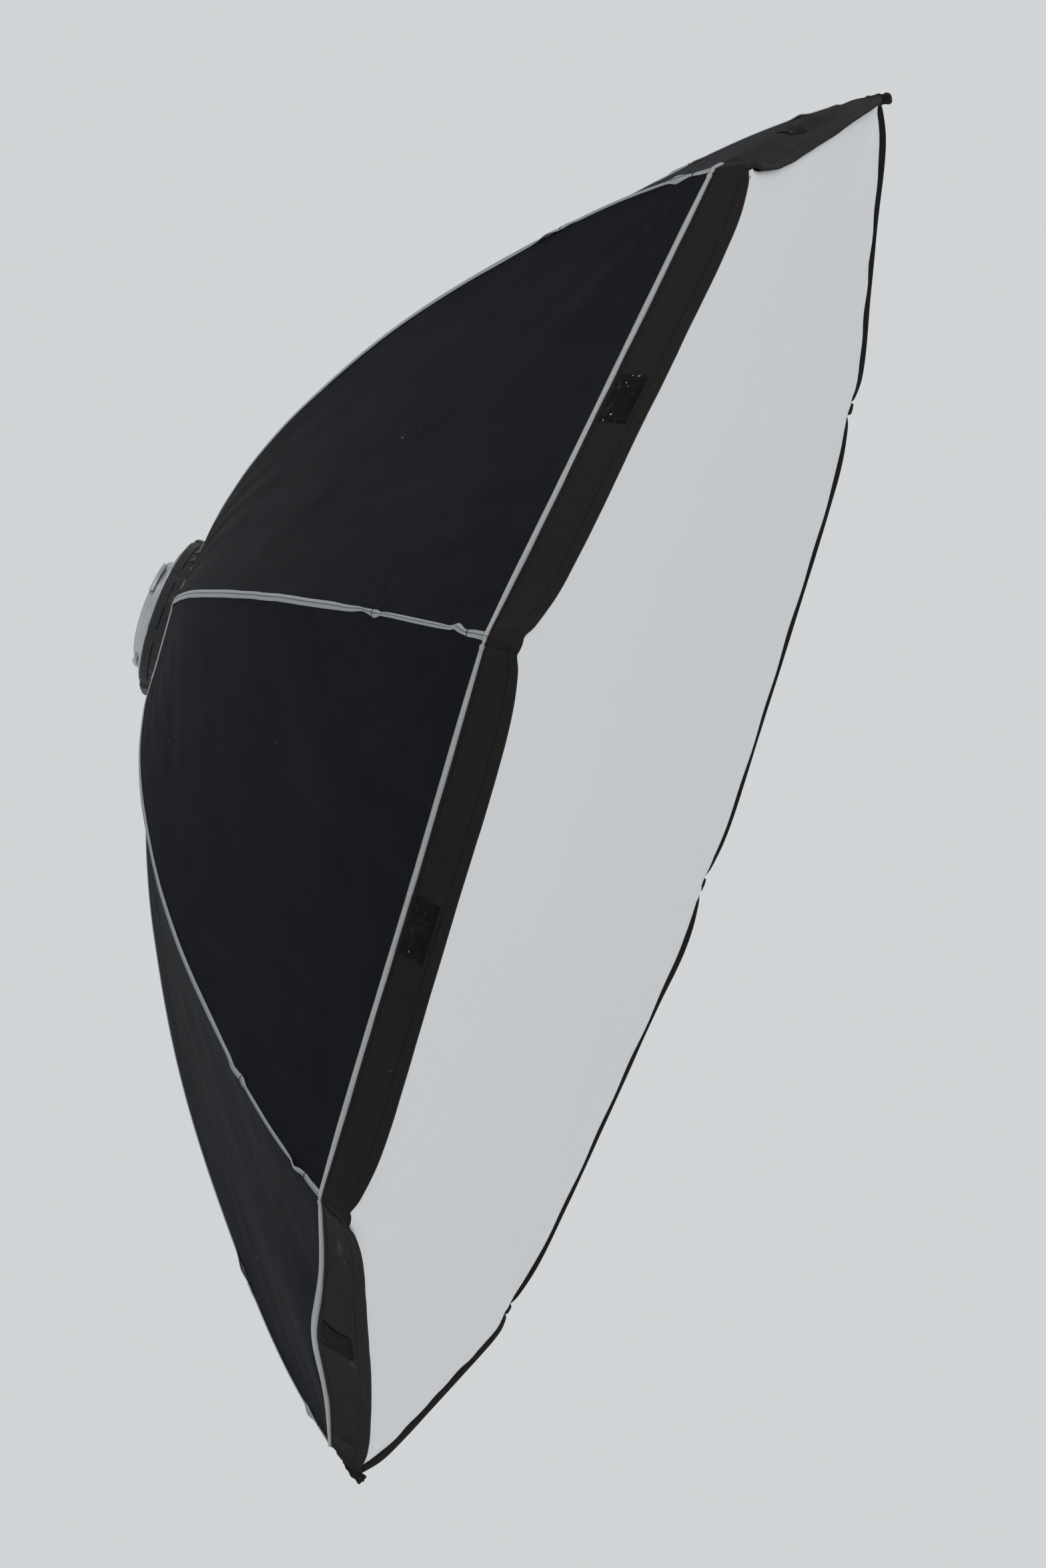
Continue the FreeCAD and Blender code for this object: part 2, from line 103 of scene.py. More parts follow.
_d = natural(RIB)
_len = np.r_[0, np.cumsum(np.linalg.norm(np.diff(_d, axis=0), axis=1))]
L = float(_len[-1])
_e0, _e1 = (_d[0] - _d[1]), (_d[-1] - _d[-2])
_e0, _e1 = _e0 / np.linalg.norm(_e0), _e1 / np.linalg.norm(_e1)
_d = np.vstack([_d[0] + _e0 * 0.05, _d, _d[-1] + _e1 * 0.05])
_len = np.r_[-0.05, _len, L + 0.05]


def rib_at(s):
    return np.interp(s, _len, _d[:, 0]), np.interp(s, _len, _d[:, 1])


def s_of_r(r):
    return float(np.interp(r, _d[:, 0], _len))


def tangent_at(s, e=0.004):
    ra, ya = rib_at(np.asarray(s) - e)
    rb, yb = rib_at(np.asarray(s) + e)
    n = np.hypot(rb - ra, yb - ya)
    return (rb - ra) / n, (yb - ya) / n


# Value noise on a fixed lattice: the same numbers at every run
def _hash(ix, iy, seed):
    v = np.sin(ix * 127.1 + iy * 311.7 + seed * 74.7) * 43758.5453
    return v - np.floor(v)


def noise(x, y, seed=0):
    x, y = np.broadcast_arrays(np.asarray(x, float), np.asarray(y, float))
    ix, iy = np.floor(x), np.floor(y)
    fx, fy = x - ix, y - iy
    fx, fy = fx ** 3 * (fx * (6 * fx - 15) + 10), fy ** 3 * (fy * (6 * fy - 15) + 10)
    a, b = _hash(ix, iy, seed), _hash(ix + 1, iy, seed)
    c, d = _hash(ix, iy + 1, seed), _hash(ix + 1, iy + 1, seed)
    return (a + (b - a) * fx) * (1 - fy) + (c + (d - c) * fx) * fy - 0.5


# ------------------------------------------------------------------ the fabric of the box as one function of side, u and s
def side_dirs(j):
    return rib_dir(j), rib_dir(j + 1)


def rim_wave(j, u):
    """How far the rim stands out of its straight line: along the fabric, and outwards."""
    j = j % SIDES
    w = np.sin(np.pi * np.clip(u, 0, 1))
    along = 0.0006 * np.sin(7.0 * u + j * 2.1) * w
    out = 0.0008 * np.sin(5.0 * u + j * 1.3 + 1.0) * w
    if j == 3:
        # this side's rim bows out once, between the corner and the bottom
        bow = np.exp(-((u - 0.53) / 0.20) ** 2)
        along = along - 0.0060 * bow - w * 0.0010 * np.sin(2 * np.pi * 2.0 * u + 0.5)
        out = out + 0.0062 * bow
    if j == 0:
        along = along + w * 0.0020 * np.sin(2 * np.pi * u + 0.4)
        out = out - w * 0.0050 * smooth((0.62 - u) / 0.3) + w * 0.0030 * np.exp(-((u - 0.70) / 0.14) ** 2)
    return along, out


def kink_at(k, n):
    """Where the rod's loops are sewn through the seam: two places on each rib."""
    return L - (0.165, 0.0245)[n] + (0.007, 0.0030)[n] * math.sin(2.3 * (k - 2) + 1.9 * n * (k - 2))


def wrinkles(j, u, s):
    j = j % SIDES
    r, _y = rib_at(s)
    width = 2 * r * math.sin(HALF)
    x = (u - 0.5) * width
    w = np.sqrt(np.clip(4 * u * (1 - u), 0, 1))
    inner = smooth(s / 0.05) * smooth((L - s) / 0.03)
    # tension between the ribs draws each panel a little inwards
    sag = -0.0062 * np.clip(4 * u * (1 - u), 0, 1) * np.sin(np.pi * np.clip(s / L, 0, 1)) ** 0.8
    # creases fanning out from the rear opening
    fan = 0.0010 * np.sin(2 * np.pi * (5 * u + 1.5 * noise(s / 0.16, u * 2, 3 + j))) * np.exp(-s / 0.22) * smooth(s / 0.06)
    # pulls that run in from the two front corners
    pull = 0.0
    for side, sign in ((0.0, 1.0), (1.0, -1.0)):
        dx = (u - side) * sign * width
        ds = (L - s)
        d = np.hypot(dx, ds) + 1e-6
        th = np.arctan2(ds, np.abs(dx))
        pull = pull + np.sin(13.0 * th + 2.2 * noise(d / 0.10, th * 2.0, 11 + j + 5 * side)) * np.exp(-d / 0.19) * smooth(d / 0.07)
    pull = pull * 0.0013
    # short puckers beside each sewn loop
    for side, sign, kk in ((0.0, 1.0, j), (1.0, -1.0, (j + 1) % SIDES)):
        dx = np.abs((u - side) * width)
        for n_ in range(2):
            ds = s - kink_at(kk, n_)
            d = np.hypot(dx, ds) + 1e-6
            th = np.arctan2(ds, dx)
            pull = pull + (0.0013, 0.0008)[n_] * np.sin(7.0 * th + 2.0 * kk + n_) * np.exp(-d / 0.030) * smooth(d / 0.008)
    # long soft creases left by folding: they cross the panel on a slant
    q = x * 0.62 + s * 0.78
    p = -x * 0.78 + s * 0.62
    soft = 0.0017 * noise(p / 0.045 + j * 3.7, q / 0.30, 21 + j) + 0.0012 * noise(p / 0.022 - j * 1.9, q / 0.16, 31 + j)
    q2 = -x * 0.55 + s * 0.83
    p2 = x * 0.83 + s * 0.55
    soft = soft + 0.0013 * noise(p2 / 0.034 + j * 2.3, q2 / 0.24, 41 + j)
    broad = 0.0030 * noise(x / 0.16 + j, s / 0.21, 51 + j)
    d = sag + w * inner * (fan + pull + soft + broad)
    if j == 3:
        d = d + w * np.exp(-(L - s) / 0.16) * smooth((L - s) / 0.01) * 0.0042 * np.sin(2 * np.pi * 1.5 * u + 1.2 + (L - s) * 9)
    if j == 0:
        d = d - 0.0060 * np.clip(4 * u * (1 - u), 0, 1) * smooth(s / 0.2) * smooth((L - s) / 0.10)
    return d


def side_point(j, u, s, lift=0.0):
    """A point of the box's outer surface. u runs 0..1 from rib j to rib j+1 and s along the fabric."""
    u, s = np.broadcast_arrays(np.asarray(u, float), np.asarray(s, float))
    d0, d1 = side_dirs(j)
    along, out = rim_wave(j, u)
    near = smooth(1 - (L - s) / 0.18)
    s2 = s + along * near
    r, y = rib_at(s2)
    tr, ty = tangent_at(s2)
    n = np.hypot(tr * CH, ty)
    m = (d0 + d1) / np.linalg.norm(d0 + d1)
    N = (-ty / n)[..., None] * m + (tr * CH / n)[..., None] * YV
    P = r[..., None] * ((1 - u)[..., None] * d0 + u[..., None] * d1) + y[..., None] * YV
    return P + N * (wrinkles(j, u, s) + out * near ** 2 + lift)[..., None]


def surface(f, a, b, e=1.2e-3):
    """Points and normals of f(a, b) on a grid."""
    P = f(a, b)
    da = f(a + e, b) - f(a - e, b)
    db = f(a, b + e) - f(a, b - e)
    N = np.cross(da, db)
    return P, N / np.maximum(np.linalg.norm(N, axis=-1, keepdims=True), 1e-12)


# ------------------------------------------------------------------ meshes
class Build:
    """Collects closed sheets and tubes, then makes one mesh with its own normals."""

    def __init__(self):
        self.v, self.f, self.n, self.uv, self.m, self.count = [], [], [], [], [], 0

    def add(self, verts, faces, normals, uvs, mat):
        """faces: (m,4) indices; normals and uvs: per corner (m,4,·)."""
        self.v.append(np.asarray(verts, float).reshape(-1, 3))
        self.f.append(np.asarray(faces, int) + self.count)
        self.n.append(np.asarray(normals, float))
        self.uv.append(np.asarray(uvs, float))
        self.m.append(np.full(len(faces), mat))
        self.count += len(self.v[-1])

    def sheet(self, P, N, thick, uv, mat_out=0, mat_in=None, mat_edge=None, outward=None):
        """A closed sheet: P its outer grid (ni,nj,3), N the normals, thick a number or grid."""
        mat_in = mat_out if mat_in is None else mat_in
        mat_edge = mat_out if mat_edge is None else mat_edge
        ni, nj = P.shape[:2]
        if outward is not None and (N * outward).sum() < 0:
            N = -N
        Q = P - N * (thick if np.isscalar(thick) else thick[..., None])
        idx = np.arange(ni * nj).reshape(ni, nj)
        quad = np.stack([idx[:-1, :-1], idx[1:, :-1], idx[1:, 1:], idx[:-1, 1:]], -1).reshape(-1, 4)
        c = P.reshape(-1, 3)
        mid = quad[len(quad) // 2]
        g = np.cross(c[mid[1]] - c[mid[0]], c[mid[3]] - c[mid[0]])
        if np.dot(g, N.reshape(-1, 3)[mid[0]]) < 0:
            quad = quad[:, ::-1]
        nf = N.reshape(-1, 3)
        uf = uv.reshape(-1, 2)
        V = np.vstack([c, Q.reshape(-1, 3)])
        off = ni * nj
        back = quad[:, ::-1] + off
        base = self.count
        self.v.append(V)
        faces = [quad, back]
        norm = [nf[quad], -nf[quad[:, ::-1]]]
        uvs = [uf[quad], uf[quad[:, ::-1]]]
        mats = [np.full(len(quad), mat_out), np.full(len(quad), mat_in)]
        loops = [idx[0, :], idx[:, -1], idx[-1, ::-1], idx[::-1, 0]]
        for lp in loops:
            a, b = lp[:-1], lp[1:]
            w = np.stack([a, b, b + off, a + off], -1)
            e = np.cross(V[w[:, 1]] - V[w[:, 0]], V[w[:, 3]] - V[w[:, 0]])
            centre = V.mean(0)
            outw = V[w].mean(1) - centre
            flip = (np.einsum("ij,ij->i", e, outw).sum() < 0)
            if flip:
                w = w[:, ::-1]
                e = -e
            e = e / np.maximum(np.linalg.norm(e, axis=1, keepdims=True), 1e-12)
            faces.append(w)
            norm.append(np.repeat(e[:, None, :], 4, 1))
            uvs.append(uf[w % off])
            mats.append(np.full(len(w), mat_edge))
        self.f.append(np.vstack(faces) + base)
        self.n.append(np.vstack(norm))
        self.uv.append(np.vstack(uvs))
        self.m.append(np.concatenate(mats))
        self.count += len(V)

    def tube(self, path, up, ra, rb, mat=0, sides=12, twist=None, cap=True, closed=False, power=1.0):
        """A tube along path (n,3). up (n,3) roughly across it, ra and rb the half axes along and across up."""
        path = np.asarray(path, float)
        n = len(path)
        if closed:
            t = np.roll(path, -1, 0) - np.roll(path, 1, 0)
        else:
            t = np.gradient(path, axis=0)
        t = t / np.maximum(np.linalg.norm(t, axis=1, keepdims=True), 1e-12)
        up = np.broadcast_to(np.asarray(up, float), (n, 3))
        up = up - (up * t).sum(1, keepdims=True) * t
        up = up / np.maximum(np.linalg.norm(up, axis=1, keepdims=True), 1e-12)
        sd = np.cross(t, up)
        ra = np.broadcast_to(np.asarray(ra, float), (n,))
        rb = np.broadcast_to(np.asarray(rb, float), (n,))
        a = np.linspace(0, 2 * np.pi, sides, endpoint=False)
        ca, sa = np.cos(a), np.sin(a)
        ca, sa = np.sign(ca) * np.abs(ca) ** power, np.sign(sa) * np.abs(sa) ** power
        V = path[:, None, :] + up[:, None, :] * (ra[:, None] * ca)[..., None] + sd[:, None, :] * (rb[:, None] * sa)[..., None]
        Nn = up[:, None, :] * (ca / np.maximum(ra[:, None], 1e-6))[..., None] + sd[:, None, :] * (sa / np.maximum(rb[:, None], 1e-6))[..., None]
        Nn = Nn / np.maximum(np.linalg.norm(Nn, axis=-1, keepdims=True), 1e-12)
        idx = np.arange(n * sides).reshape(n, sides)
        nx = np.roll(idx, -1, 1)
        if closed:
            i2, n2 = np.roll(idx, -1, 0), np.roll(nx, -1, 0)
            quad = np.stack([idx, nx, n2, i2], -1).reshape(-1, 4)
        else:
            quad = np.stack([idx[:-1], nx[:-1], nx[1:], idx[1:]], -1).reshape(-1, 4)
        c = V.reshape(-1, 3)
        nf = Nn.reshape(-1, 3)
        m = quad[0]
        if np.dot(np.cross(c[m[1]] - c[m[0]], c[m[3]] - c[m[0]]), nf[m[0]]) < 0:
            quad = quad[:, ::-1]
        run = np.r_[0, np.cumsum(np.linalg.norm(np.diff(path, axis=0), axis=1))]
        U = np.stack([np.broadcast_to(a * float(ra.mean()), (n, sides)), np.broadcast_to(run[:, None], (n, sides))], -1).reshape(-1, 2)
        base = self.count
        verts, faces, norm, uvs = [c], [quad], [nf[quad]], [U[quad]]
        if cap and not closed:
            for row, sign, cpt in ((idx[0], -1.0, path[0]), (idx[-1], 1.0, path[-1])):
                tt = t[0] if sign < 0 else t[-1]
                ci = len(c) + (0 if sign < 0 else 1)
                verts.append(cpt[None, :])
                half = sides // 2
                q = np.stack([row, np.roll(row, -1), np.roll(row, -2)], -1)[::2]
                q = np.concatenate([q, np.full((len(q), 1), ci)], 1)
                g = np.cross(c[q[0][1]] - c[q[0][0]], cpt - c[q[0][0]])
                if np.dot(g, tt * sign) < 0:
                    q = q[:, ::-1]
                faces.append(q)
                norm.append(np.broadcast_to(tt * sign, (len(q), 4, 3)))
                uvs.append(np.zeros((len(q), 4, 2)))
        self.v.append(np.vstack(verts))
        self.f.append(np.vstack(faces) + base)
        self.n.append(np.vstack([np.asarray(x).reshape(-1, 4, 3) for x in norm]))
        self.uv.append(np.vstack([np.asarray(x).reshape(-1, 4, 2) for x in uvs]))
        self.m.append(np.full(sum(len(x) for x in faces), mat))
        self.count += sum(len(x) for x in verts)

    def make(self, name, materials):
        V = np.vstack(self.v)
        F = np.vstack(self.f)
        me = bpy.data.meshes.new(name)
        me.vertices.add(len(V))
        me.vertices.foreach_set("co", V.astype(np.float32).ravel())
        me.loops.add(F.size)
        me.loops.foreach_set("vertex_index", F.astype(np.int32).ravel())
        me.polygons.add(len(F))
        me.polygons.foreach_set("loop_start", np.arange(0, F.size, 4, dtype=np.int32))
        me.polygons.foreach_set("loop_total", np.full(len(F), 4, np.int32))
        for m in materials:
            me.materials.append(m)
        me.polygons.foreach_set("material_index", np.concatenate(self.m).astype(np.int32))
        me.polygons.foreach_set("use_smooth", np.ones(len(F), bool))
        uv = me.uv_layers.new(name="Fabric")
        uv.data.foreach_set("uv", np.vstack([x.reshape(-1, 2) for x in self.uv]).astype(np.float32).ravel())
        me.update(calc_edges=True)
        n = np.vstack([x.reshape(-1, 3) for x in self.n])
        me.normals_split_custom_set(n.astype(np.float32).tolist())
        ob = bpy.data.objects.new(name, me)
        bpy.context.scene.collection.objects.link(ob)
        return ob


def piece(build, name, materials, body, replaces=()):
    ob = build.make(name, materials)
    if body:
        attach(ob, body)
    if replaces:
        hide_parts(*replaces)
    return ob


# ------------------------------------------------------------------ materials
def node(nt, kind, **inputs):
    n = nt.nodes.new(kind)
    for k, v in inputs.items():
        if k.startswith("_"):
            setattr(n, k[1:], v)
    return n


class Mat:
    def __init__(self, name):
        self.m = bpy.data.materials.new(name)
        self.m.use_nodes = True
        self.nt = self.m.node_tree
        self.nt.nodes.clear()
        self.out = self.nt.nodes.new("ShaderNodeOutputMaterial")
        self.bsdf = self.nt.nodes.new("ShaderNodeBsdfPrincipled")
        self.nt.links.new(self.bsdf.outputs[0], self.out.inputs[0])

    def link(self, a, b):
        self.nt.links.new(a, b)

    def value(self, sock, v):
        if hasattr(v, "links") or isinstance(v, bpy.types.NodeSocket):
            self.link(v, sock)
        else:
            sock.default_value = v

    def set(self, **kw):
        for k, v in kw.items():
            self.value(self.bsdf.inputs[k.replace("_", " ")], v)

    def math(self, op, a, b=None, c=None, clamp=False):
        n = self.nt.nodes.new("ShaderNodeMath")
        n.operation = op
        n.use_clamp = clamp
        self.value(n.inputs[0], a)
        if b is not None:
            self.value(n.inputs[1], b)
        if c is not None:
            self.value(n.inputs[2], c)
        return n.outputs[0]

    def coord(self, kind="Object"):
        n = self.nt.nodes.new("ShaderNodeTexCoord")
        return n.outputs[kind]

    def uv(self):
        n = self.nt.nodes.new("ShaderNodeUVMap")
        n.uv_map = "Fabric"
        return n.outputs[0]

    def scaled(self, vec, sc):
        n = self.nt.nodes.new("ShaderNodeVectorMath")
        n.operation = "MULTIPLY"
        self.link(vec, n.inputs[0])
        n.inputs[1].default_value = sc if hasattr(sc, "__len__") else (sc, sc, sc)
        return n.outputs[0]

    def noise(self, vec, scale, detail=3.0, rough=0.55, distort=0.0):
        n = self.nt.nodes.new("ShaderNodeTexNoise")
        self.link(vec, n.inputs["Vector"])
        n.inputs["Scale"].default_value = scale
        n.inputs["Detail"].default_value = detail
        n.inputs["Roughness"].default_value = rough
        n.inputs["Distortion"].default_value = distort
        return n.outputs["Fac"]

    def voronoi(self, vec, scale, feature="F1", rand=1.0):
        n = self.nt.nodes.new("ShaderNodeTexVoronoi")
        n.feature = feature
        self.link(vec, n.inputs["Vector"])
        n.inputs["Scale"].default_value = scale
        n.inputs["Randomness"].default_value = rand
        return n.outputs["Distance"]

    def ramp(self, fac, stops):
        n = self.nt.nodes.new("ShaderNodeValToRGB")
        self.link(fac, n.inputs[0])
        e = n.color_ramp.elements
        e[0].position, e[0].color = stops[0][0], (*stops[0][1], 1)
        e[1].position, e[1].color = stops[-1][0], (*stops[-1][1], 1)
        for p, c in stops[1:-1]:
            x = e.new(p)
            x.color = (*c, 1)
        return n.outputs[0]

    def mix(self, fac, a, b, mode="MIX"):
        n = self.nt.nodes.new("ShaderNodeMix")
        n.data_type = "RGBA"
        n.blend_type = mode
        n.clamp_factor = True
        self.value(n.inputs[0], fac)
        self.value(n.inputs[6], a if not isinstance(a, tuple) else (*a[:3], 1))
        self.value(n.inputs[7], b if not isinstance(b, tuple) else (*b[:3], 1))
        return n.outputs[2]

    def range(self, v, a, b, c, d):
        n = self.nt.nodes.new("ShaderNodeMapRange")
        self.link(v, n.inputs[0])
        for i, x in enumerate((a, b, c, d)):
            n.inputs[i + 1].default_value = x
        return n.outputs[0]

    def bump(self, height, strength, distance, normal=None):
        n = self.nt.nodes.new("ShaderNodeBump")
        n.inputs["Strength"].default_value = strength
        n.inputs["Distance"].default_value = distance
        self.link(height, n.inputs["Height"])
        if normal is not None:
            self.link(normal, n.inputs["Normal"])
        return n.outputs[0]

    def weave(self, period, twill=False):
        """0..1 height of a plain or twill weave, period metres per pair of threads."""
        sep = self.nt.nodes.new("ShaderNodeSeparateXYZ")
        self.link(self.scaled(self.uv(), 2 * math.pi / period), sep.inputs[0])
        x, y = sep.outputs[0], sep.outputs[1]
        if twill:
            d = self.math("ADD", x, y)
            a = self.math("SINE", d)
            b = self.math("SINE", self.math("MULTIPLY", x, 2.0))
            return self.math("MULTIPLY_ADD", self.math("ADD", a, self.math("MULTIPLY", b, 0.4)), 0.35, 0.5)
        a = self.math("MULTIPLY", self.math("SINE", x), self.math("SINE", y))
        fine = self.math("MULTIPLY", self.math("SINE", self.math("MULTIPLY", x, 2.0)), self.math("SINE", self.math("MULTIPLY", y, 2.0)))
        return self.math("MULTIPLY_ADD", self.math("ADD", a, self.math("MULTIPLY", fine, 0.3)), 0.38, 0.5)


def scale(c, f):
    return tuple(x * f for x in c)


def cloth(name, base, period, rough=0.8, spec=0.15, sheen=0.0, bump=0.5, depth=0.00025, vary=0.25, streak=0.0, lint=0.0, twill=False, tint=None, sheen_tint=(0.7, 0.75, 0.85), groove=0.0, scuffs=()):
    m = Mat(name)
    obj = m.coord("Object")
    uv = m.uv()
    w = m.weave(period, twill)
    big = m.noise(obj, 3.2, 4.0, 0.6, 0.3)
    mid = m.noise(obj, 23.0, 4.0, 0.6)
    thread = m.noise(m.scaled(uv, (1 / (period * 6), 1 / (period * 0.7), 1.0)), 1.0, 2.0)
    col = m.mix(m.range(big, 0.3, 0.7, 0, 1), scale(base, 1 - vary), scale(base, 1 + vary))
    if tint:
        col = m.mix(m.range(mid, 0.35, 0.7, 0, 0.6), col, tint)
    if streak:
        st = m.noise(m.scaled(uv, (26.0, 3.2, 1.0)), 1.0, 5.0, 0.62, 0.4)
        col = m.mix(m.range(st, 0.45, 0.8, 0, streak), col, scale(base, 2.3))
    # painted shade: the colour is darkened in the weave's low gaps between the threads
    col = m.mix(m.range(w, 0.15, 0.7, 0.42, 0.0), col, scale(base, 0.35))
    col = m.mix(m.range(thread, 0.3, 0.7, 0.0, 0.28), col, scale(base, 1.5))
    if groove:
        sep = m.nt.nodes.new("ShaderNodeSeparateXYZ")
        m.link(uv, sep.inputs[0])
        ax = m.math("ABSOLUTE", sep.outputs[0])
        col = m.mix(m.range(ax, 0.00035, 0.00085, groove, 0.0), col, scale(base, 0.16))
    if lint:
        v = m.voronoi(m.scaled(obj, 1.0), 36.0)
        gate = m.range(m.noise(obj, 11.0, 2.0), 0.60, 0.66, 0.0, 1.0)
        dots = m.math("MULTIPLY", m.range(v, 0.035, 0.06, 1.0, 0.0), gate)
        col = m.mix(m.math("MULTIPLY", dots, lint), col, (0.35, 0.35, 0.34))
    if scuffs:
        sep = m.nt.nodes.new("ShaderNodeSeparateXYZ")
        m.link(uv, sep.inputs[0])
        rub = m.range(m.noise(m.scaled(uv, (330.0, 620.0, 1.0)), 1.0, 5.0, 0.75, 0.8), 0.50, 0.62, 0.0, 1.0)
        for x, y, rx, ry, much in scuffs:
            dx = m.math("MULTIPLY", m.math("SUBTRACT", sep.outputs[0], x), 1 / rx)
            dy = m.math("MULTIPLY", m.math("SUBTRACT", sep.outputs[1], y), 1 / ry)
            d2 = m.math("ADD", m.math("MULTIPLY", dx, dx), m.math("MULTIPLY", dy, dy))
            col = m.mix(m.math("MULTIPLY", m.math("MULTIPLY", m.range(d2, 0.15, 1.0, 1.0, 0.0), rub), much), col, (0.21, 0.205, 0.20))
    m.set(Base_Color=col, Roughness=m.range(m.math("ADD", w, m.math("MULTIPLY", mid, 0.6)), 0.3, 1.4, rough + 0.08, rough - 0.1), Specular_IOR_Level=spec)
    m.bsdf.inputs["Sheen Weight"].default_value = sheen
    m.bsdf.inputs["Sheen Roughness"].default_value = 0.5
    m.bsdf.inputs["Sheen Tint"].default_value = (*sheen_tint, 1)
    h = m.math("ADD", w, m.math("MULTIPLY", thread, 0.35))
    b1 = m.bump(mid, 0.12, 0.0015)
    m.set(Normal=m.bump(h, bump, depth, b1))
    return m.m


NYLON = cloth("shell_nylon", (0.0092, 0.0099, 0.0126), 0.0011, rough=0.78, spec=0.055, sheen=0.002, bump=0.45, depth=0.00022, vary=0.14, streak=0.34, lint=0.5)
WEBBING = cloth("lip_webbing", (0.0178, 0.0166, 0.0156), 0.0024, rough=0.88, spec=0.08, sheen=0.015, bump=0.8, depth=0.0005, vary=0.16, lint=0.9, tint=(0.0205, 0.0180, 0.0160), sheen_tint=(0.8, 0.77, 0.74),
                scuffs=((1.903, 0.0200, 0.017, 0.0042, 0.55), (1.924, 0.0245, 0.006, 0.0030, 0.35), (2.139, 0.0290, 0.009, 0.0040, 0.40)))
TAPE = cloth("binding_tape", (0.345, 0.362, 0.372), 0.0014, rough=0.62, spec=0.3, sheen=0.05, bump=0.6, depth=0.0003, vary=0.08, twill=True, groove=0.75)
# painted light: the piping's copy of the binding tape's grey is painted lighter than the tape, though it is the same
# fabric
PIPING_PAINTED_LIGHTER = cloth("piping_tape_painted_lighter", (0.43, 0.447, 0.458), 0.0014, rough=0.60, spec=0.3, sheen=0.05, bump=0.6, depth=0.0003, vary=0.06, twill=True)
POCKET = cloth("pocket_fabric", (0.0095, 0.0095, 0.0100), 0.0018, rough=0.85, spec=0.1, sheen=0.03, bump=0.7, depth=0.0004, vary=0.2)
HEM = cloth("hem_fabric", (0.012, 0.012, 0.012), 0.0016, rough=0.85, spec=0.12, bump=0.6, depth=0.0003)


def make_diffuser(name, base, period):
    m = Mat(name)
    obj = m.coord("Object")
    w = m.weave(period)
    big = m.noise(obj, 2.1, 3.0, 0.5)
    smudge = m.noise(obj, 7.5, 5.0, 0.65, 0.6)
    col = m.mix(m.range(big, 0.3, 0.7, 0, 1), scale(base, 0.985), base)
    col = m.mix(m.range(smudge, 0.62, 0.85, 0.0, 0.25), col, scale(base, 0.90))
    # painted shade: the colour is darkened in the weave's low gaps between the threads
    col = m.mix(m.range(w, 0.1, 0.6, 0.10, 0.0), col, scale(base, 0.86))
    m.set(Base_Color=col, Roughness=m.range(w, 0.0, 1.0, 0.72, 0.60), Specular_IOR_Level=0.25)
    m.bsdf.inputs["Sheen Weight"].default_value = 0.08
    m.set(Normal=m.bump(w, 0.25, 0.0002, m.bump(m.noise(obj, 60.0, 3.0), 0.05, 0.001)))
    tr = m.nt.nodes.new("ShaderNodeBsdfTranslucent")
    m.link(col, tr.inputs[0])
    mx = m.nt.nodes.new("ShaderNodeMixShader")
    mx.inputs[0].default_value = 0.12
    m.link(m.bsdf.outputs[0], mx.inputs[1])
    m.link(tr.outputs[0], mx.inputs[2])
    m.link(mx.outputs[0], m.out.inputs[0])
    return m.m


DIFFUSER = make_diffuser("diffuser_silk", (0.885, 0.893, 0.900), 0.0010)
BAFFLE = make_diffuser("baffle_silk", (0.82, 0.83, 0.84), 0.0012)


def make_lining():
    m = Mat("silver_lining")
    uv = m.uv()
    obj = m.coord("Object")
    w = m.weave(0.0012)
    crink = m.noise(obj, 46.0, 6.0, 0.7, 0.8)
    big = m.noise(obj, 6.0, 3.0)
    col = m.mix(m.range(big, 0.3, 0.7, 0, 1), (0.50, 0.51, 0.52), (0.60, 0.61, 0.62))
    m.set(Base_Color=col, Metallic=0.75, Roughness=m.range(crink, 0.3, 0.7, 0.34, 0.52))
    m.set(Normal=m.bump(w, 0.25, 0.0002, m.bump(crink, 0.5, 0.002)))
    return m.m


LINING = make_lining()


def make_hook():
    """Hook and loop tape: short dense pile with caught lint."""
    m = Mat("hook_tape")
    obj = m.coord("Object")
    pile = m.voronoi(obj, 900.0)
    clump = m.noise(obj, 160.0, 4.0, 0.7)
    lint = m.noise(obj, 75.0, 6.0, 0.75, 1.2)
    col = m.mix(m.range(clump, 0.35, 0.7, 0, 1), (0.005, 0.005, 0.005), (0.0125, 0.0120, 0.0112))
    col = m.mix(m.range(lint, 0.58, 0.70, 0.0, 0.6), col, (0.075, 0.073, 0.070))
    speck = m.math("MULTIPLY", m.range(m.voronoi(obj, 120.0), 0.10, 0.16, 1.0, 0.0), m.range(m.noise(obj, 60.0, 2.0), 0.55, 0.60, 0.0, 1.0))
    col = m.mix(speck, col, (0.42, 0.42, 0.41))
    m.set(Base_Color=col, Roughness=0.95, Specular_IOR_Level=0.08)
    m.bsdf.inputs["Sheen Weight"].default_value = 0.015
    m.set(Normal=m.bump(m.math("ADD", m.math("MULTIPLY", pile, 0.7), clump), 0.9, 0.0009))
    return m.m


HOOK = make_hook()


def edge_mask(m, radius=0.0012):
    """1 on convex edges, from the difference between the bevelled and the true normal."""
    b = m.nt.nodes.new("ShaderNodeBevel")
    b.samples = 4
    b.inputs["Radius"].default_value = radius
    g = m.nt.nodes.new("ShaderNodeNewGeometry")
    d = m.nt.nodes.new("ShaderNodeVectorMath")
    d.operation = "DOT_PRODUCT"
    m.link(b.outputs[0], d.inputs[0])
    m.link(g.outputs["Normal"], d.inputs[1])
    return m.range(d.outputs["Value"], 0.80, 0.99, 1.0, 0.0), b.outputs[0]


